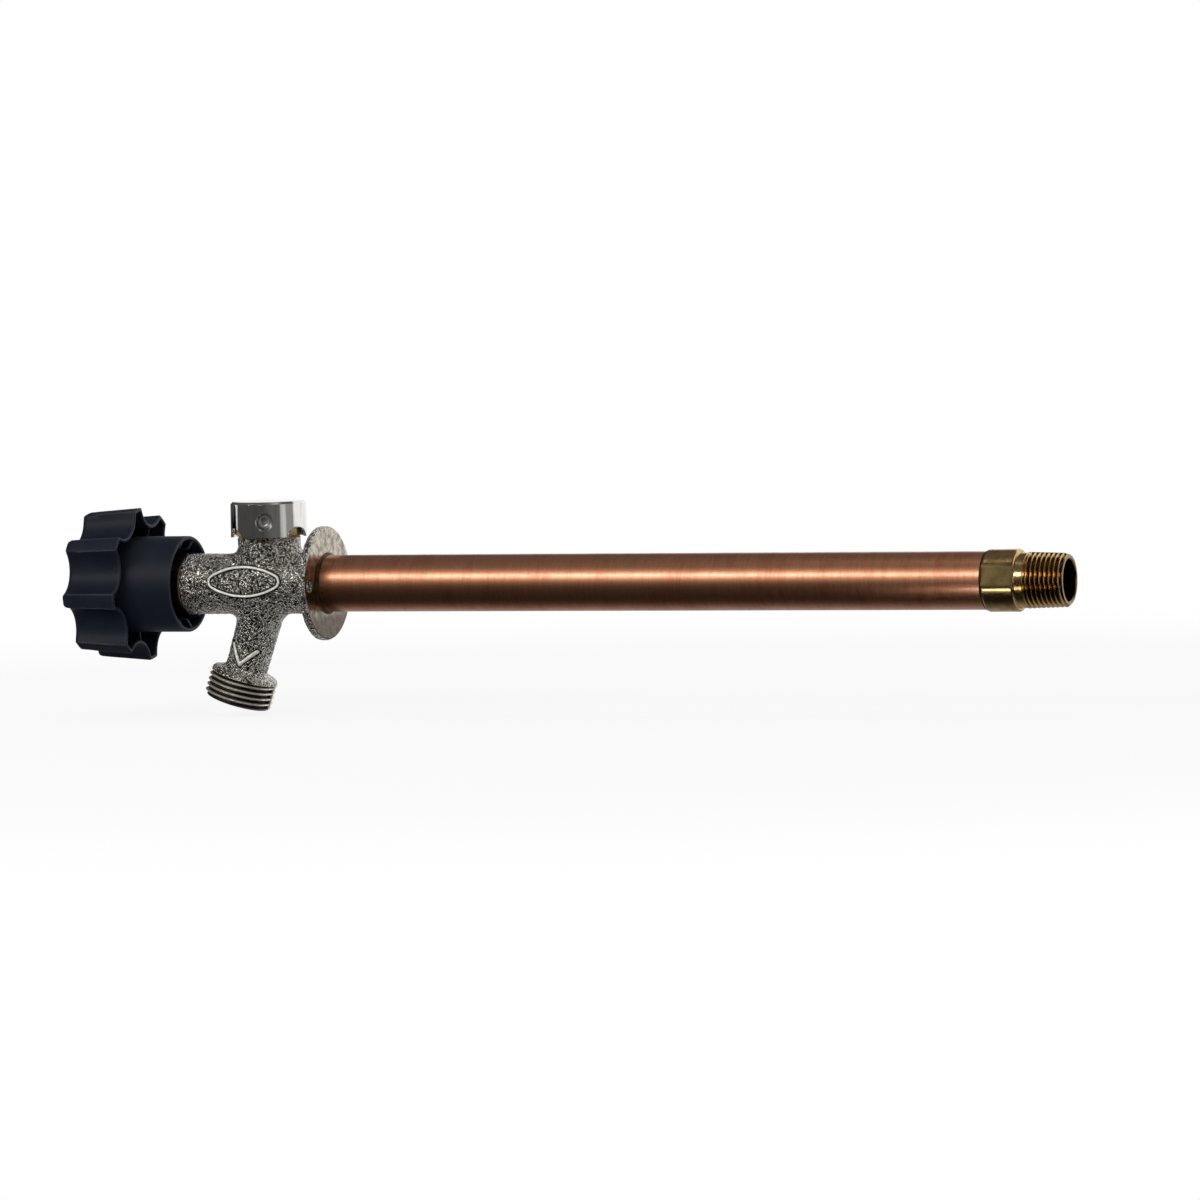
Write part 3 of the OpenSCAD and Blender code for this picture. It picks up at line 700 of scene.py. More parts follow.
class Finishes(Enum):
    """The finishes that the sillcock wears."""

    CASTING = CastNickel()
    COPPER = DrawnCopper()
    BRASS = Turned()
    BRASS_UP = Turned("turned_brass_up", axis="z", metal=0.6)
    THREAD = PlatedThread()
    INLET = InletBrass()
    # The packing nut painted near black: painted shade inside the knob's mouth.
    NUT = Turned("nut_painted_shade", (0.10, 0.092, 0.08), (0.045, 0.04, 0.035), rough=0.4)
    BRAZE = Turned("braze", (0.16, 0.09, 0.05), (0.05, 0.032, 0.022), rough=0.42)
    STEEL = Turned("steel", (0.93, 0.925, 0.91), (0.72, 0.71, 0.70), rough=0.16, metal=0.4)
    CHROME = Chrome()
    PLASTIC = Moulded()
    # The third colour of each moulding is a painted highlight on its rims.
    WHITE = Moulded("acetal", (0.72, 0.7, 0.64), (0.8, 0.79, 0.74), (0.8, 0.79, 0.74), 0.38)
    RUBBER = Moulded("rubber", grey(0.018), grey(0.04), grey(0.05), 0.6)
    PACKING = Fibre("packing", grey(0.03), grey(0.1))
    GASKET = Fibre()


# Studio


def put(name: str, data: bpy.types.ID) -> bpy.types.Object:
    """Makes an object of some data and puts it in the scene.

    Args:
        name: Its name.
        data: Its mesh, lamp or camera.

    Returns:
        The object.
    """
    made = bpy.data.objects.new(name, data)
    bpy.context.scene.collection.objects.link(made)
    return made


@dataclass
class Studio:
    """Pale floor, soft lamps, white surroundings and the photograph's viewpoint."""

    eye: Triple = (1134.2, -2511.2, 147.0)
    yaw: float = 22.1
    pitch: float = -3.25
    roll: float = -1.51
    reach_px: float = 7049.0
    image_px: float = 1200.0
    sensor: float = 36.0
    floor_gap: float = 1.5
    floor_reach: float = 700.0
    floor_sides: int = 96
    floor_colour: Triple = grey(0.82)
    floor_in_metal: Triple = grey(0.14)
    white: Triple = grey(1.0)
    backdrop_near: Pair = (-20.0, 40.0)
    backdrop_far: Pair = (50.0, 350.0)
    card_x: Tuple[Pair, Pair] = ((230.0, 238.0), (290.0, 280.0))
    card_y: Tuple[Pair, Pair] = ((-112.0, -106.0), (-80.0, -86.0))
    card_glow: float = 6.0
    clip_end_m: float = 100.0
    room: float = 0.06
    fill: float = 0.6

    def view_axes(self) -> Tuple[Vector, Vector, Vector]:
        """The camera's own directions.

        Returns:
            Its right, up and forward directions.
        """
        (yc, ys), (pc, ps), (rc, rs) = (cos_sin(a) for a in (self.yaw, self.pitch, self.roll))
        ahead = Vector((-ys * pc, yc * pc, ps))
        right = Vector((yc, ys, 0.0))
        up = right.cross(ahead)
        return right * rc + up * rs, up * rc - right * rs, ahead

    def add_camera(self) -> None:
        """Makes the camera at the photograph's viewpoint."""
        data = bpy.data.cameras.new("photo_camera")
        data.sensor_width = self.sensor
        data.lens = self.reach_px * self.sensor / self.image_px
        data.clip_end = self.clip_end_m
        camera = put("photo_camera", data)
        right, up, ahead = self.view_axes()
        turn = Matrix((right, up, -ahead)).transposed().to_4x4()
        camera.matrix_world = Matrix.Translation(Vector(self.eye) * MM) @ turn
        bpy.context.scene.camera = camera

    def add_lamp(self, name: str, toward: Triple, away: float, size: Pair, power: float) -> None:
        """Adds a soft box that looks at the middle of the part.

        Args:
            name: The lamp's name.
            toward: The direction from the part to the lamp.
            away: Its distance, in millimetres.
            size: Its width and height, in millimetres.
            power: Its power in watts.
        """
        low, high = CAD_BOUNDS
        data = bpy.data.lights.new(name, "AREA")
        data.shape = "RECTANGLE"
        data.size, data.size_y = size[0] * MM, size[1] * MM
        data.energy = power
        lamp = put(name, data)
        way = Vector(toward).normalized()
        lamp.location = (Vector(low) + Vector(high)) / 2.0 + way * away * MM
        lamp.rotation_euler = (-way).to_track_quat("-Z", "Y").to_euler()

    def floor_paint(self, middle: Triple) -> bpy.types.Material:
        """Makes the floor's paint, which fades into the white round it and shows metal a graded backdrop.

        Args:
            middle: The middle of the floor, in metres.

        Returns:
            The material.
        """
        made = bpy.data.materials.new("floor_paint")
        graph = new_graph(made)
        at = graph.place()
        x, y, _ = graph.axes(at)
        from_middle = at - tuple(value / MM for value in middle)
        away = graph.node("ShaderNodeVectorMath", {"operation": "LENGTH"}, {0: from_middle}, 1)
        camera, glossy = graph.ray("Is Camera Ray"), graph.ray("Is Glossy Ray")
        fade = away.step(self.floor_reach * 0.45, self.floor_reach * 0.98)
        behind = y.step(*self.backdrop_near) * 0.42 + y.step(*self.backdrop_far) * 0.5
        edges = [x.step(*edge) for edge in self.card_x] + [y.step(*edge) for edge in self.card_y]
        card = edges[0] * edges[1] * edges[2] * edges[3] * self.card_glow
        colour = graph.blend(glossy, self.floor_colour, self.floor_in_metal)
        strength = camera + glossy * (behind + card)
        paint = graph.node("ShaderNodeBsdfDiffuse", None, {"Color": colour})
        glow = graph.node("ShaderNodeEmission", None, {"Color": self.white, "Strength": strength})
        seen = camera * (0.87 + fade * 0.13) + glossy * 0.85
        mixed = graph.node("ShaderNodeMixShader", None, {0: seen, 1: paint, 2: glow})
        graph.node("ShaderNodeOutputMaterial", None, {0: mixed})
        return made

    def add_floor(self) -> None:
        """Lays the round floor just under the lowest point of the part."""
        low, high = CAD_BOUNDS
        middle = ((low[0] + high[0]) / 2.0, (low[1] + high[1]) / 2.0, low[2] - self.floor_gap * MM)
        reach, sides = self.floor_reach * MM, self.floor_sides
        turns = [FULL_TURN * k / sides for k in range(sides)]
        rim = [(middle[0] + reach * math.cos(a), middle[1] + reach * math.sin(a), middle[2]) for a in turns]
        data = bpy.data.meshes.new("floor")
        data.from_pydata(rim, [], [tuple(range(sides))])
        floor = put("floor", data)
        data.materials.append(self.floor_paint(middle))

    def paint_world(self) -> None:
        """White for the camera and in the backdrop that metal shows, and a dim room elsewhere."""
        world = bpy.data.worlds.new("studio")
        bpy.context.scene.world = world
        graph = new_graph(world)
        way = graph.node("ShaderNodeTexCoord", output="Generated")
        right, up, ahead = self.view_axes()

        def toward(direction: Vector) -> Wire:
            """How nearly a ray runs in a direction."""
            return graph.dot(way, tuple(direction.normalized()))

        _, _, z = graph.axes(way)
        backdrop = toward(ahead + right).step(0.58, 0.68)
        wing = toward(right - ahead * 0.35).step(0.80, 0.95) * 0.22
        strip = toward(ahead * 0.407 - right * 0.913 + up * 0.05).step(0.985, 0.995) * 0.8
        slit = toward(right * 0.73 - ahead * 0.68).step(0.982, 0.991) * 0.28
        soft = toward(right * 0.5 - ahead).step(0.75, 1.0) * 0.06
        room = self.room + z.step(0.2, 1.0) * 0.05 + wing + strip + slit + soft
        camera, glossy = graph.ray("Is Camera Ray"), graph.ray("Is Glossy Ray")
        metal = backdrop + (1.0 - backdrop) * room
        strength = camera + (1.0 - camera) * (glossy * metal + (1.0 - glossy) * self.fill)
        glow = graph.node("ShaderNodeBackground", None, {"Color": self.white, "Strength": strength})
        graph.node("ShaderNodeOutputWorld", None, {0: glow})

    def build(self) -> None:
        """Sets up the whole studio."""
        bpy.context.scene.view_settings.view_transform = "Standard"
        self.add_camera()
        self.add_floor()
        self.paint_world()
        self.add_lamp("key", (-0.375, -0.80, 0.47), 1300.0, (1000.0, 240.0), 4.6)
        self.add_lamp("top", (0.1, -0.1, 1.0), 1200.0, (700.0, 300.0), 0.6)
        LOG.info("studio: camera, floor, world and two lamps")


# Mesh building


def angles(sides: int) -> Array:
    """The turn of each point of a ring, in radians."""
    return np.linspace(0.0, FULL_TURN, sides, endpoint=False)


def ring(reach: Union[Array, float], high: Union[Array, float], sides: int) -> Array:
    """Points round the local Z axis.

    Args:
        reach: The radius, for all points or for each.
        high: The height, for all points or for each.
        sides: How many points go round.

    Returns:
        The points, with their coordinates last.
    """
    turn = angles(sides)
    return np.stack(np.broadcast_arrays(reach * np.cos(turn), reach * np.sin(turn), high), -1)


def profile_rings(profile: Sequence[Tuple[Union[Array, float], float]], sides: int) -> Array:
    """The rings of a profile of (radius, height) points."""
    return np.array([ring(reach, high, sides) for reach, high in profile])


class Shape:
    """A mesh in the making, in millimetres."""

    def __init__(self) -> None:
        """Starts empty."""
        self.points: List[Array] = []
        self.faces: List[Tuple[int, ...]] = []
        self.count = 0

    def add(self, points: Array, faces: Sequence[Sequence[int]]) -> None:
        """Adds a patch.

        Args:
            points: Its points.
            faces: Its faces, which number those points from 0.
        """
        self.points.append(np.asarray(points, float).reshape(-1, 3))
        self.faces.extend(tuple(int(i) + self.count for i in face) for face in faces)
        self.count += len(self.points[-1])

    def rings(self, rings: Array) -> None:
        """Adds a closed skin over rings of points; its last ring joins the first.

        Args:
            rings: Points, ring by ring, each ring closed on itself.
        """
        many, each = rings.shape[:2]
        row = np.arange(many)[:, None] * each
        after = (np.arange(many)[:, None] + 1) % many * each
        here = np.arange(each)[None, :]
        there = (here + 1) % each
        quads = np.stack([row + here, row + there, after + there, after + here], -1)
        self.add(rings.reshape(-1, 3), quads.reshape(-1, 4))

    def lathe(self, profile: Sequence[Pair], sides: int) -> None:
        """Turns a closed profile of (radius, height) points about the local Z axis."""
        self.rings(profile_rings(profile, sides))

    def slab(self, outline: Sequence[Pair], thick: float, turn: float) -> None:
        """Adds a flat web, an outline of (radius, height) points in a plane through the Z axis.

        Args:
            outline: The web's corners in order.
            thick: Its thickness.
            turn: The plane's turn about Z, in degrees.
        """
        many = len(outline)
        flat = np.array([[r, 0.0, h] for r, h in outline])
        both = np.concatenate([flat - [0.0, thick / 2.0, 0.0], flat + [0.0, thick / 2.0, 0.0]])
        c, s = cos_sin(turn)
        both = both @ np.array([[c, s, 0.0], [-s, c, 0.0], [0.0, 0.0, 1.0]])
        sides = [(i, (i + 1) % many, (i + 1) % many + many, i + many) for i in range(many)]
        self.add(both, sides + [tuple(range(many))[::-1], tuple(range(many, 2 * many))])

    def build(
        self,
        name: str,
        body: str,
        finish: Finishes,
        slot: str,
        nodes: Sequence[str] = (),
        frame_axes: Optional[Matrix] = None,
        sharp: float = 50.0,
    ) -> bpy.types.Object:
        """Makes the Blender object.

        Args:
            name: Its name.
            body: The CAD body that it rides on.
            finish: What it wears.
            slot: The record's material slot; not used.
            nodes: CAD nodes that it stands for.
            frame_axes: Where the local frame sits, in millimetres.
            sharp: Edges over this angle, in degrees, stay sharp.

        Returns:
            The object, already riding on its body.
        """
        points = np.concatenate(self.points)
        if frame_axes is not None:
            turn = np.array(frame_axes.to_3x3())
            points = points @ turn.T + np.array(frame_axes.translation)
        data = bpy.data.meshes.new(name)
        data.from_pydata((points * MM).tolist(), [], self.faces)
        data.validate()
        net = bmesh.new()
        net.from_mesh(data)
        bmesh.ops.remove_doubles(net, verts=net.verts, dist=SAME_POINT_M)
        bmesh.ops.recalc_face_normals(net, faces=net.faces)
        net.to_mesh(data)
        net.free()
        data.shade_smooth()
        data.set_sharp_from_angle(angle=math.radians(sharp))
        made = put(name, data)
        data.materials.append(finish.value.material())
        if nodes:
            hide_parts(*nodes)
        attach(made, body)
        LOG.info("%s: %d faces on %s", name, len(data.polygons), body)
        return made


def frame_at(origin: Triple, ahead: Triple, side: Triple) -> Matrix:
    """A local frame.

    Args:
        origin: Where it sits.
        ahead: The direction of its Z axis.
        side: The direction of its X axis, square to ahead.

    Returns:
        Its matrix.
    """
    z, x = Vector(ahead).normalized(), Vector(side).normalized()
    turn = Matrix((x, z.cross(x), z)).transposed().to_4x4()
    return Matrix.Translation(Vector(origin)) @ turn


# Solid fields: the distance to a surface, negative inside, in millimetres


def join(first: Array, second: Array, soft: float) -> Array:
    """The union of two fields, with the corner between them filled to about the size of soft."""
    near = np.maximum(soft - np.abs(first - second), 0.0) / soft
    return np.minimum(first, second) - near * near * soft / 4.0


def meet(first: Array, second: Array, soft: float) -> Array:
    """What two fields share, with the edge rounded."""
    return -join(-first, -second, soft)


def hash_noise(points: Array, size: float, seed: int) -> Array:
    """Smooth noise on a lattice, worked out in numbers alone.

    Args:
        points: Where.
        size: The lattice's spacing.
        seed: Which noise.

    Returns:
        Values from -1 to 1.
    """
    scaled = points / size
    base = np.floor(scaled).astype(np.int64)
    part = scaled - base
    part = part * part * (3.0 - 2.0 * part)
    total = np.zeros(len(points))
    for corner in range(8):
        step = np.array([corner & 1, corner >> 1 & 1, corner >> 2])
        cell = (base + step).astype(np.uint64)
        mixed = cell[:, 0] * np.uint64(73856093) ^ cell[:, 1] * np.uint64(19349663)
        mixed = mixed ^ cell[:, 2] * np.uint64(83492791) ^ np.uint64(seed * 2654435761)
        mixed = (mixed ^ mixed >> np.uint64(13)) * np.uint64(1274126177)
        value = ((mixed ^ mixed >> np.uint64(16)) & np.uint64(65535)).astype(float) / 32767.5 - 1.0
        weight = np.prod(np.where(step, part, 1.0 - part), axis=1)
        total += value * weight
    return total


class Net:
    """Finds the surface of a solid field as a net of quads."""

    def __init__(self, solid: Callable[[Array], Array], low: Triple, high: Triple, step: float) -> None:
        """Lays out the net's grid.

        Args:
            solid: The field: distances for points.
            low: The lowest corner of its box.
            high: The highest corner.
            step: The net's mesh width.
        """
        self.solid = solid
        self.low = np.array(low, float)
        self.step = step
        self.size = tuple(int(n) for n in np.ceil((np.array(high) - self.low) / step) + 1)

    def sample(self) -> Array:
        """The field at every grid point.

        Returns:
            The distances, as a block.
        """
        ranges = [self.low[i] + self.step * np.arange(self.size[i]) for i in range(3)]
        values = np.empty(self.size, np.float32)
        flat_y, flat_z = (a.ravel() for a in np.meshgrid(ranges[1], ranges[2], indexing="ij"))
        for i, x in enumerate(ranges[0]):
            plane = np.stack([np.full(flat_y.shape, x), flat_y, flat_z], -1)
            values[i] = self.solid(plane).reshape(self.size[1:])
        return values

    def find(self) -> Tuple[Array, Array]:
        """The net before it is drawn tight.

        Returns:
            Points, and quads of point numbers.
        """
        values = self.sample()
        cells = tuple(n - 1 for n in self.size)
        total = np.zeros(cells + (3,))
        hits = np.zeros(cells, np.int32)
        crossings = []
        for axis in range(3):
            head = [slice(None)] * 3
            tail = [slice(None)] * 3
            head[axis], tail[axis] = slice(0, -1), slice(1, None)
            start, end = values[tuple(head)], values[tuple(tail)]
            where = np.argwhere((start < 0) != (end < 0))
            a, b = start[tuple(where.T)], end[tuple(where.T)]
            spot = where.astype(float)
            spot[:, axis] += a / (a - b)
            crossings.append((axis, where, a < 0))
            others = [i for i in range(3) if i != axis]
            for du in (0, -1):
                for dv in (0, -1):
                    cell = where.copy()
                    cell[:, others[0]] += du
                    cell[:, others[1]] += dv
                    good = np.all((cell >= 0) & (cell < np.array(cells)), axis=1)
                    index = tuple(cell[good].T)
                    np.add.at(total, index, spot[good])
                    np.add.at(hits, index, 1)
        live = hits > 0
        number = np.full(cells, -1)
        number[live] = np.arange(int(live.sum()))
        points = self.low + total[live] / hits[live][:, None] * self.step
        quads = []
        for axis, where, inward in crossings:
            u, v = [(1, 2), (2, 0), (0, 1)][axis]
            square = []
            for du, dv in ((0, 0), (-1, 0), (-1, -1), (0, -1)):
                cell = where.copy()
                cell[:, u] += du
                cell[:, v] += dv
                cell = np.clip(cell, 0, np.array(cells) - 1)
                square.append(number[tuple(cell.T)])
            found = np.stack(square, -1)
            found[~inward] = found[~inward][:, ::-1]
            quads.append(found[np.all(found >= 0, axis=1)])
        return points, np.concatenate(quads)

    def normals(self, points: Array) -> Array:
        """The field's slope.

        Args:
            points: Where.

        Returns:
            Directions of length 1.
        """
        slope = np.empty_like(points)
        small = self.step * 0.1
        for axis in range(3):
            shift = np.zeros(3)
            shift[axis] = small
            slope[:, axis] = self.solid(points + shift) - self.solid(points - shift)
        return slope / np.maximum(np.linalg.norm(slope, axis=1, keepdims=True), 1e-9)

    def tight(self, rounds: int = 2) -> Tuple[Array, Array, Array]:
        """The net drawn onto the surface.

        Args:
            rounds: How many times the points move.

        Returns:
            Points, quads and normals.
        """
        points, quads = self.find()
        for _ in range(rounds):
            away = self.normals(points)
            move = np.clip(self.solid(points), -self.step, self.step)
            points = points - away * move[:, None]
        return points, quads, self.normals(points)


# Head casting


@dataclass
class HeadCasting:
    """The cast head: barrel, tower, spout, flange, raised oval and flow mark."""

    barrel_r: float = 12.0
    front: float = -59.4
    flange_r: float = 22.4
    flange_t: float = 3.1
    flange_round: float = 0.9
    hole_r: float = 2.6
    hole_y: float = 17.696
    tower_x: float = -24.8
    tower_r: float = 12.4
    tower_top: float = 18.4
    tower_bore_r: float = 10.0
    tower_floor: float = 10.0
    port_r: float = 5.5
    root_r: float = 9.0
    neck_r: float = 8.3
    shoulder: float = 38.5
    ledge_r: float = 13.09
    ledge_t: float = 1.5
    spout_bore_r: float = 5.8
    mouth_r: float = 9.0
    mouth_t: float = 37.75
    cartridge_r: float = 9.5
    cartridge_end: float = -38.0
    chamber_r: float = 8.6
    tube_r: float = 11.1525
    socket: float = 6.0
    fillet: float = 4.5
    front_edge: float = 0.8
    tower_edge: float = 0.5
    ledge_edge: float = 0.7
    ledge_fillet: float = 1.4
    cut_edge: float = 0.25
    hole_end: float = -4.5
    oval_fillet: float = 0.6
    line_edge: float = 0.5
    line_fillet: float = 0.35
    oval_y: float = -6.0
    oval_floor: float = 12.45
    oval_top: float = 12.95
    mark_w: float = 0.55
    mark_high: float = 0.6
    mark_slope: float = 0.5
    box_low: Triple = (-60.4, -23.4, -45.4)
    box_high: Triple = (0.84, 23.4, 23.4)
    pitch: float = 0.45
    grain: float = 1.25
    swirl: float = 0.8
    swirl_grain: float = 1.7
    depth: float = 0.24

    def spout_frame(self, points: Array) -> Tuple[Array, Array]:
        """The spout's own coordinates.

        Args:
            points: Where.

        Returns:
            How far the points lie down the spout's axis, and to its side in the XZ plane.
        """
        c, s = cos_sin(HEAD.tilt)
        x, z = points[:, 0] - HEAD.spout_x, points[:, 2]
        return -x * s - z * c, x * c - z * s

    def oval(self, points: Array) -> Array:
        """Distance to the outline of four arcs, in the XZ plane.

        Args:
            points: Where.

        Returns:
            The distances, negative inside.
        """
        end, half, rise = HEAD.oval_arcs()
        x, z = np.abs(points[:, 0] - HEAD.oval_x), np.abs(points[:, 2] - HEAD.oval_z)
        tip = np.hypot(x - half, z) - end
        side = np.hypot(x, z + rise) - rise - HEAD.oval_h / 2.0
        return np.where(x * rise > (z + rise) * half, tip, side)

    def flow_mark(self, down: Array, across: Array, y: Array) -> Array:
        """Height of the raised arrow that points down the spout's near side.

        Args:
            down: How far points lie down the spout's axis.
            across: How far they lie to its side.
            y: How far they lie towards the far side.

        Returns:
            The heights.
        """
        along = np.array([HEAD.mark_half, -HEAD.mark_len])
        length = float(np.hypot(*along))
        along = along / length
        dx, dt = np.abs(across), down - HEAD.mark_t
        part = np.clip(dx * along[0] + dt * along[1], 0.0, length)
        gap = np.hypot(dx - part * along[0], dt - part * along[1]) - self.mark_w
        rise = np.clip(0.5 - gap / self.mark_slope, 0.0, 1.0)
        return np.where(y < 0, rise * rise * (3.0 - 2.0 * rise) * self.mark_high, 0.0)

    def spout(self, points: Array) -> Array:
        """The field of the spout with its mark and the ledge under its thread.

        Args:
            points: Where.

        Returns:
            The distances.
        """
        down, across = self.spout_frame(points)
        y = points[:, 1]
        reach = np.hypot(across, y)
        taper = self.root_r + (self.neck_r - self.root_r) * down / self.shoulder
        neck = np.maximum(reach - taper - self.flow_mark(down, across, y), -down)
        neck = np.maximum(neck, down - self.shoulder)
        slope = (self.ledge_r - self.neck_r) / self.ledge_t
        start = self.shoulder - 2.0 * self.ledge_t
        ledge = (reach - self.neck_r - slope * (down - start)) / math.hypot(1.0, slope)
        ledge = meet(ledge, reach - self.ledge_r, self.ledge_edge)
        ledge = np.maximum(np.maximum(ledge, down - self.shoulder), start - 0.4 - down)
        return join(neck, ledge, self.ledge_fillet)

    def flange(self, points: Array) -> Array:
        """The field of the round flange with its rounded rim.

        Args:
            points: Where.

        Returns:
            The distances.
        """
        x, y, z = points.T
        edge = self.flange_round
        out = np.hypot(y, z) - self.flange_r + edge
        past = np.abs(x + self.flange_t / 2.0) - self.flange_t / 2.0 + edge
        corner = np.hypot(np.maximum(out, 0.0), np.maximum(past, 0.0))
        return corner + np.minimum(np.maximum(out, past), 0.0) - edge

    def cast(self, points: Array) -> Array:
        """The field of the outside, before any cut.

        Args:
            points: Where.

        Returns:
            The distances.
        """
        x, y, z = points.T
        barrel = meet(np.hypot(y, z) - self.barrel_r, self.front - x, self.front_edge)
        barrel = np.maximum(barrel, x + 1.0)
        tower = np.maximum(np.hypot(x - self.tower_x, y) - self.tower_r, -z)
        tower = meet(tower, z - self.tower_top, self.tower_edge)
        solid = join(barrel, tower, self.fillet)
        solid = join(solid, self.spout(points), self.fillet)
        solid = join(solid, self.flange(points), self.fillet)
        solid = np.maximum(solid, x)
        inside = self.oval(points)
        near = y - self.oval_y
        slab = np.maximum(np.maximum(inside, -y - self.oval_floor), near)
        half = HEAD.oval_line / 2.0
        line = meet(np.abs(inside + half) - half, -y - self.oval_top, self.line_edge)
        return join(join(solid, slab, self.oval_fillet), np.maximum(line, near), self.line_fillet)

    def solid(self, points: Array) -> Array:
        """The field of the finished casting.

        Args:
            points: Where.

        Returns:
            The distances.
        """
        x, y, z = points.T
        down, across = self.spout_frame(points)
        from_tower = np.hypot(x - self.tower_x, y)
        bore = np.where(x < self.cartridge_end, self.cartridge_r, self.chamber_r)
        bore = np.hypot(y, z) - np.where(x > -self.socket, self.tube_r, bore)
        chamber = np.maximum(from_tower - self.tower_bore_r, self.tower_floor - z)
        port = np.maximum(from_tower - self.port_r, -z)
        water = np.where(down > self.mouth_t, self.mouth_r, self.spout_bore_r)
        water = np.maximum(np.hypot(across, y) - water, -down)
        holes = np.maximum(np.hypot(np.abs(y) - self.hole_y, z) - self.hole_r, self.hole_end - x)
        cut = np.minimum.reduce([bore, chamber, port, water, holes])
        return meet(self.cast(points), -cut, self.cut_edge)

    def hammered(self, points: Array, away: Array) -> Array:
        """Moves points inward by the grain of the sand mould where the casting is left rough.

        Args:
            points: Points on the smooth surface.
            away: Their normals.

        Returns:
            The points moved.
        """
        x, y, z = points.T
        down, _ = self.spout_frame(points)
        swirl = np.stack([hash_noise(points, self.swirl_grain, seed) for seed in (11, 12, 13)], -1)
        bent = points + self.swirl * swirl
        lumps = hash_noise(bent, self.grain, 5) * 0.7 + hash_noise(points, self.grain * 0.5, 7) * 0.3
        machined = np.clip((x + 0.35) / 0.3, 0, 1)
        for past_edge in (z - self.tower_top + 0.3, down - self.shoulder + 0.35, self.front + 0.3 - x):
            machined = machined + np.clip(past_edge / 0.2, 0, 1)
        inside = (np.hypot(y, z) < self.chamber_r + 1.3) & (x < -0.5) & (np.abs(y) < 11.5)
        rough = np.where(inside & (np.abs(z) < 11), 0.0, 1.0 - np.clip(machined, 0, 1))
        return points - away * ((0.5 - 0.5 * np.clip(lumps * 1.8, -1, 1)) * self.depth * rough)[:, None]

    def build(self) -> None:
        """Nets, hammers and dresses the casting."""
        points, quads, away = Net(self.solid, self.box_low, self.box_high, self.pitch).tight()
        shape = Shape()
        shape.add(self.hammered(points, away), quads)
        shape.build("head_casting", "valve", Finishes.CASTING, "nickel_casting", ["body"], sharp=70.0)


@dataclass
class Helix:
    """A screw thread as a skin whose rows follow its crests."""

    start: float
    end: float
    pitch: float
    depth: float
    crest_r: float
    taper: float = 0.0
    fade: float = 1.2
    chamfer: float = 0.9
    flat: float = 0.08
    sides: int = 120
    steps: int = 12

    def profile(self, phase: Array) -> Array:
        """Depth below the crest over one pitch, 0 to 1, with flats at crest and root."""
        wave = np.abs(phase % 1.0 - 0.5) * 2.0
        return np.clip((wave - self.flat) / (1.0 - 2.0 * self.flat), 0.0, 1.0)

    def rings(self) -> Array:
        """The thread's skin.

        Returns:
            Points in rings along the axis, which is local Z.
        """
        turns = int(math.ceil((self.end - self.start) / self.pitch)) + 1
        rows = np.arange(-self.steps, turns * self.steps + 1) / self.steps
        high = self.start + self.pitch * (rows[:, None] + angles(self.sides)[None, :] / FULL_TURN)
        held = np.clip(high, self.start, self.end)
        phase = rows[:, None] + (held - high) / self.pitch
        crest = self.crest_r - (held - self.start) * self.taper
        grip = np.clip((held - self.start) / self.fade, 0.0, 1.0)
        radius = crest - self.depth * self.profile(phase) * grip
        return ring(np.minimum(radius, crest + self.end - held - self.chamfer), held, self.sides)


@dataclass
class HoseEnd:
    """The threaded end of the spout, with its rough start and chamfered mouth."""

    start: float = 38.5
    end: float = 48.6
    mouth_r: float = 9.0
    pitch: float = 2.209
    depth: float = 1.45
    overlap: float = 0.2
    chamfer: float = 0.5

    def build(self) -> None:
        """Threads, closes and dresses the hose end."""
        crest, mouth, foot = HEAD.hose_r, self.mouth_r, self.start - self.overlap
        thread = Helix(foot, self.end, self.pitch, self.depth, crest, fade=0.5, chamfer=1.0, flat=0.1)
        lip = [
            (crest - 1.6, self.end), (mouth + self.chamfer, self.end), (mouth, self.end - self.chamfer),
            (mouth, self.start), (mouth + 0.3, self.start), (mouth + 0.3, foot), (crest - 1.0, foot),
        ]
        shape = Shape()
        shape.rings(np.concatenate([thread.rings(), profile_rings(lip, thread.sides)]))
        c, s = cos_sin(HEAD.tilt)
        axes = frame_at((HEAD.spout_x, 0.0, 0.0), (-s, 0.0, -c), (c, 0.0, -s))
        shape.build("hose_thread", "valve", Finishes.THREAD, "nickel_casting", frame_axes=axes, sharp=40.0)


# Inlet


ALONG_TUBE = frame_at((0.0, 0.0, 0.0), (1.0, 0.0, 0.0), (0.0, 0.0, 1.0))


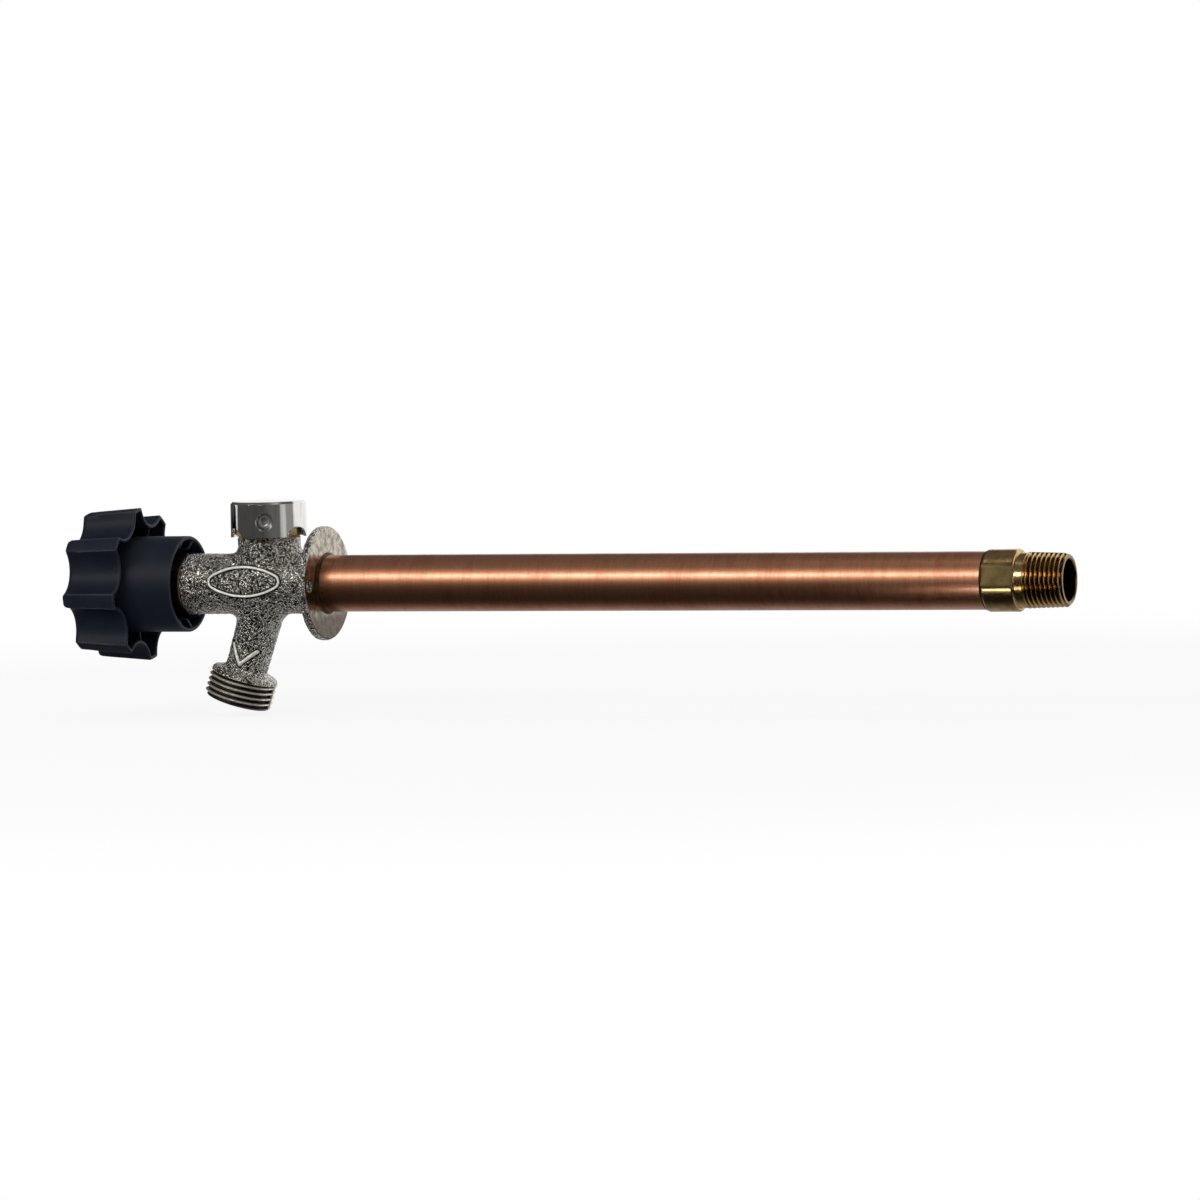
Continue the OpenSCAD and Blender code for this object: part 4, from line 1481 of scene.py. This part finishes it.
@dataclass
class InletFitting:
    """Brass fitting at the far end: spigot with valve seat, collar with flats, relief and pipe thread."""

    collar_x: float = 273.05
    collar_end: float = 285.75
    end: float = 304.8
    collar_r: float = 11.85
    bevel: float = 0.7
    flat_half: float = 11.05
    flat_turn: float = 12.0
    relief_r: float = 10.5
    relief_end: float = 289.15
    thread_r: float = 10.67
    thread_depth: float = 1.3
    chamfer: float = 0.75
    pitch: float = 1.814
    socket_r: float = 7.98
    socket_end: float = 292.1
    passage_r: float = 6.0
    spigot_r: float = 9.93
    spigot_x: float = 259.05
    seat_x: float = 257.85
    seat_r: float = 7.5
    sides: int = 144

    def collar(self) -> Array:
        """The bevelled collar, cut by its two wrench flats.

        Returns:
            Its rings.
        """
        lean = np.abs(np.cos(angles(self.sides) - math.radians(90.0 - self.flat_turn)))
        flats = self.flat_half / np.maximum(lean, 1e-6)
        bevel, corner = self.bevel, self.bevel * 0.35
        profile = [
            (self.collar_r - bevel, self.collar_x), (self.collar_r - corner, self.collar_x + corner),
            (self.collar_r, self.collar_x + bevel), (self.collar_r, self.collar_end - bevel),
            (self.collar_r - corner, self.collar_end - corner), (self.collar_r - bevel, self.collar_end),
        ]
        return profile_rings([(np.minimum(reach, flats), x) for reach, x in profile], self.sides)

    def build(self) -> None:
        """Turns, threads and dresses the fitting; local X is the part's Z and local Y its -Y."""
        thread = Helix(
            self.relief_end, self.end, self.pitch, self.thread_depth, self.thread_r,
            taper=1.0 / THREAD_TAPER, fade=0.9, chamfer=self.chamfer, sides=self.sides,
        )
        spigot = [
            (self.passage_r, self.seat_x), (self.seat_r - 0.3, self.seat_x), (self.seat_r, self.seat_x + 0.3),
            (self.seat_r, self.spigot_x), (self.spigot_r, self.spigot_x), (self.spigot_r, self.collar_x),
        ]
        relief = [
            (self.relief_r + 0.3, self.collar_end), (self.relief_r, self.collar_end + 0.3),
            (self.relief_r, self.relief_end - 0.2),
        ]
        tip = self.thread_r - (self.end - self.relief_end) / THREAD_TAPER - self.chamfer
        tail = [
            (tip - 0.3, self.end), (self.socket_r + 0.4, self.end), (self.socket_r, self.end - 0.4),
            (self.socket_r, self.socket_end), (self.passage_r, self.socket_end), (self.passage_r, self.seat_x),
        ]
        shape = Shape()
        shape.rings(np.concatenate([
            profile_rings(spigot, self.sides), self.collar(), profile_rings(relief, self.sides),
            thread.rings(), profile_rings(tail, self.sides),
        ]))
        shape.build(
            "inlet_fitting_turned", "valve", Finishes.INLET, "brass", ["inlet_fitting"],
            frame_axes=ALONG_TUBE, sharp=28.0,
        )


@dataclass
class BrazeRings:
    """The dark fillets where the tube is brazed into the head and into the inlet."""

    head: Tuple[Pair, ...] = (
        (11.05, -0.2), (12.15, -0.2), (12.15, 0.06), (11.8, 0.2), (11.45, 0.5), (11.25, 0.95), (11.05, 1.05),
    )
    inlet: Tuple[Pair, ...] = (
        (11.05, 272.3), (11.2, 272.4), (11.32, 272.75), (11.5, 272.95), (11.55, 273.2), (11.05, 273.2),
    )
    sides: int = 128

    def build(self) -> None:
        """Turns both rings."""
        for name, profile in (("head_braze", self.head), ("inlet_braze", self.inlet)):
            shape = Shape()
            shape.lathe(profile, self.sides)
            shape.build(name, "valve", Finishes.BRAZE, "brass", frame_axes=ALONG_TUBE)


@dataclass
class CapScrew:
    """The set screw of the cap: a domed end with a hexagon socket."""

    axis_x: float = -24.8
    height: float = 25.0
    turn: float = 17.0
    start: float = 9.5
    end: float = 13.4
    radius: float = 2.9
    dome: float = 0.9
    socket_r: float = 1.42
    socket_depth: float = 2.0
    chamfer: float = 0.2
    core_r: float = 0.05
    sides: int = 60

    def hexagon(self, grow: float = 1.0) -> Array:
        """The hexagon socket.

        Args:
            grow: How many times its size.

        Returns:
            A radius for each point of a ring.
        """
        sixth = math.pi / 3.0
        turn = angles(self.sides)
        return self.socket_r * grow * math.cos(sixth / 2.0) / np.cos(turn % sixth - sixth / 2.0)

    def build(self) -> None:
        """Shapes and dresses the screw."""
        floor, end, r = self.end - self.socket_depth, self.end, self.radius
        lip = end - self.chamfer
        profile = [(self.hexagon(), floor), (self.hexagon(), end - 0.35), (self.hexagon(1.15), lip)]
        profile += [(r * k, lip + self.chamfer * (1.0 - (k - 0.66) ** 2 / 0.02)) for k in (0.62, 0.7)]
        slopes = np.linspace(0.95, 1.57, 5)
        profile += [(r * math.sin(t), end - self.dome * (1.0 - math.cos(t))) for t in slopes]
        profile += [(r, self.start), (self.core_r, self.start), (self.core_r, floor)]
        shape = Shape()
        shape.rings(profile_rings(profile, self.sides))
        c, s = cos_sin(self.turn - 90.0)
        axes = frame_at((self.axis_x, 0.0, self.height), (c, s, 0.0), (0.0, 0.0, 1.0))
        shape.build(
            "cap_set_screw", "valve", Finishes.STEEL, "steel", ["vb_cap_screw"], frame_axes=axes, sharp=35.0,
        )


# Knob


@dataclass
class Knob:
    """The lobed knob: a hollow shell with a skirt, ribs inside it, webs in the lobes and a hub."""

    mouth_x: float = -59.7
    length: float = 43.0
    head: float = 19.1
    over_r: float = 30.4
    lobes: int = 8
    scallop_r: float = 9.33
    scallop_depth: float = 6.4
    lobe_turn: float = -10.0
    lobe_round: float = 1.3
    draft: float = 4.2
    wall: float = 1.4
    front_wall: float = 2.0
    front_round: float = 2.4
    dish: float = 0.45
    skirt_r: float = 18.9
    ribs: int = 12
    rib_foot: float = 1.2
    rib_high: float = 3.4
    rib_step: float = 12.0
    rib_t: float = 1.1
    web_foot: float = 5.0
    hub_r: float = 7.5
    hub_z: float = 12.0
    hub_bore_r: float = 5.0
    screw_r: float = 7.0
    screw_floor: float = 40.0
    screw_hole_r: float = 2.65
    sides: int = 320
    skirt_sides: int = 192
    hub_sides: int = 96

    def outline(self, high: float, inset: float, soft: float) -> Array:
        """Radii of the lobed outline.

        Args:
            high: Height above the mouth.
            inset: How far inside the outer surface.
            soft: Rounding where lobe and scallop meet.

        Returns:
            A radius for each angle.
        """
        slope = math.tan(math.radians(self.draft)) * (high - self.head)
        lobe = np.full(self.sides, self.over_r - slope - inset)
        centre = self.over_r - self.scallop_depth + self.scallop_r - slope
        bite = self.scallop_r + inset
        spread = FULL_TURN / self.lobes
        first = math.radians(self.lobe_turn) + spread / 2.0
        turn = (angles(self.sides) - first + spread / 2.0) % spread - spread / 2.0
        under = bite * bite - (centre * np.sin(turn)) ** 2
        scallop = np.where(under > 0, centre * np.cos(turn) - np.sqrt(np.maximum(under, 0.0)), FAR)
        return join(lobe, scallop, soft)

    def inner_wall(self) -> List[Tuple[Array, float]]:
        """The inside of the lobed wall, from the front to the rear rim.

        Returns:
            Radii and heights of its rings.
        """
        floor, soft = self.length - self.front_wall, self.lobe_round
        found = []
        for t in np.linspace(0.0, math.pi / 2.0, 5):
            away, down = soft * (1.0 - math.sin(t)), soft * (1.0 - math.cos(t))
            found.append((self.outline(floor - down, self.wall + away, soft), floor - down))
        for high in np.linspace(floor - 3.0, self.head + 1.2, 7):
            found.append((self.outline(high, self.wall, soft), high))
        return found

    def outer_wall(self) -> List[Tuple[Array, float]]:
        """The rear rim, the outside of the lobed wall and its rounded front edge.

        Returns:
            Radii and heights of its rings.
        """
        half, soft, found = self.wall / 2.0, self.lobe_round, []
        rim = half * 0.8
        for t in np.linspace(0.0, math.pi, 9):
            radii = self.outline(self.head + rim, half + half * math.cos(t), soft)
            found.append((radii, self.head + rim * (1.0 - math.sin(t))))
        for high in np.linspace(self.head + 1.2, self.length - self.front_round - 0.4, 9):
            found.append((self.outline(high, 0.0, soft), high))
        for t in np.linspace(0.0, math.pi / 2.0, 8):
            inset = self.front_round * (1.0 - math.cos(t))
            high = self.length - self.front_round * (1.0 - math.sin(t))
            found.append((self.outline(high, inset, soft + inset * 0.5), high))
        return found

    def front(self) -> List[Tuple[Union[Array, float], float]]:
        """The dished front and the recess of the screw.

        Returns:
            Radii and heights of its rings.
        """
        edge = self.outline(self.length, self.front_round, self.lobe_round * 2.0)
        found = []
        for mix in (0.12, 0.3, 0.55, 0.8):
            dish = self.dish * math.sin(math.pi * min(mix * 1.1, 1.0)) ** 2
            found.append((edge * (1.0 - mix) + (self.screw_r + 2.0) * mix, self.length - dish))
        return found + [
            (self.screw_r + 0.5, self.length), (self.screw_r + 0.12, self.length - 0.15),
            (self.screw_r, self.length - 0.5), (self.screw_r, self.screw_floor + 0.3),
            (self.screw_r - 0.3, self.screw_floor), (self.screw_hole_r, self.screw_floor),
            (self.screw_hole_r, self.screw_floor - 2.0),
        ]

    def add_shell(self, shape: Shape) -> None:
        """Adds the lobed shell.

        Args:
            shape: The knob in the making.
        """
        floor, hub = self.length - self.front_wall, self.hub_r - 0.1
        root = [(hub, self.screw_floor - 2.0), (hub, floor), (18.0, floor)]
        shape.rings(profile_rings(root + self.inner_wall() + self.outer_wall() + self.front(), self.sides))

    def add_skirt_and_hub(self, shape: Shape, deep: float) -> None:
        """Adds the plain skirt and the hub.

        Args:
            shape: The knob in the making.
            deep: Where both end inside the front wall.
        """
        skirt, inner, hub, foot = self.skirt_r, self.skirt_r - self.wall, self.hub_r, self.hub_z
        shape.lathe([
            (inner, deep), (inner, 0.5), (inner + 0.15, 0.15), (inner + 0.5, 0.0), (skirt - 0.5, 0.0),
            (skirt - 0.15, 0.15), (skirt, 0.5), (skirt, deep - 1.6), (skirt + 0.4, deep - 0.8),
            (skirt + 1.2, deep),
        ], self.skirt_sides)
        bore, top = self.hub_bore_r, self.screw_floor - 1.0
        shape.lathe([
            (bore, foot + 0.3), (bore + 0.3, foot), (hub - 0.3, foot), (hub, foot + 0.3),
            (hub, deep), (hub - 0.4, deep), (hub - 0.4, top), (bore, top),
        ], self.hub_sides)

    def add_ribs_and_webs(self, shape: Shape, deep: float) -> None:
        """Adds the stepped ribs inside the skirt and a web in each lobe.

        Args:
            shape: The knob in the making.
            deep: Where they end inside the front wall.
        """
        inner, hub, foot = self.skirt_r - self.wall, self.hub_r - 1.0, self.rib_foot
        tip, step = inner - self.rib_high, self.hub_z + self.rib_step
        rib = [
            (inner + 0.5, foot), (inner - 0.1, foot), (tip + 0.4, foot + self.rib_high * 0.45),
            (tip, foot + 0.4 + self.rib_high * 0.5), (tip, step), (hub, step + 4.0),
            (hub, deep), (inner + 0.5, deep),
        ]
        far, lean = self.over_r - self.wall / 2.0, math.tan(math.radians(self.draft))
        near, start = self.skirt_r - 0.5, self.head + self.web_foot
        web = [
            (near, start), (far - self.web_foot * lean, start),
            (far - (deep - self.head) * lean, deep), (near, deep),
        ]
        for outline, many in ((rib, self.ribs), (web, self.lobes)):
            for k in range(many):
                shape.slab(outline, self.rib_t, self.lobe_turn + 360.0 / many * k)

    def build(self) -> None:
        """Lofts the shell, adds skirt, hub, ribs and webs, and dresses the knob."""
        shape = Shape()
        deep = self.length - self.front_wall + 0.4
        self.add_shell(shape)
        self.add_skirt_and_hub(shape, deep)
        self.add_ribs_and_webs(shape, deep)
        axes = frame_at((self.mouth_x, 0.0, 0.0), (-1.0, 0.0, 0.0), (0.0, 0.0, 1.0))
        shape.build(
            "knob_moulding", "stem", Finishes.PLASTIC, "dark_plastic", ["handle"], frame_axes=axes, sharp=40.0,
        )


# Carried-over CAD pieces


@dataclass
class CadDress:
    """Finishes for the CAD nodes that stay in view or inside."""

    wears: Dict[Finishes, str] = field(default_factory=lambda: {
        Finishes.CASTING: "body",
        Finishes.COPPER: "supply_tube stem_rod",
        Finishes.INLET: "inlet_fitting",
        Finishes.BRASS: "cam_bush packing_washer spindle stem_tip thrust_washer washer_screw",
        Finishes.PACKING: "packing_rings",
        Finishes.NUT: "packing_nut",
        Finishes.GASKET: "nut_gasket vb_gasket",
        Finishes.BRASS_UP: "vb_bonnet",
        Finishes.CHROME: "vb_cap",
        Finishes.STEEL: "vb_cap_screw cam_pin handle_washer handle_screw",
        Finishes.WHITE: "vb_float stem_guide",
        Finishes.RUBBER: "vb_float_seal seat_washer",
        Finishes.PLASTIC: "handle",
    })

    def dress(self, name: str, finish: Finishes) -> None:
        """Puts a finish on a node.

        Args:
            name: The node.
            finish: What it wears.
        """
        piece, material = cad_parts[name], finish.value.material()
        if not piece.material_slots:
            piece.data.materials.append(material)
        for slot in piece.material_slots:
            slot.material = material
        LOG.info("%s wears %s", name, finish.name)

    def build(self) -> None:
        """Dresses every node."""
        for finish, names in self.wears.items():
            for name in names.split():
                self.dress(name, finish)


def main() -> None:
    """Builds and dresses everything in order."""
    logging.basicConfig(level=logging.INFO, format="%(message)s")
    for part in (Studio, CadDress, HeadCasting, HoseEnd, InletFitting, BrazeRings, CapScrew, Knob):
        part().build()


if __name__ == "__main__":
    main()
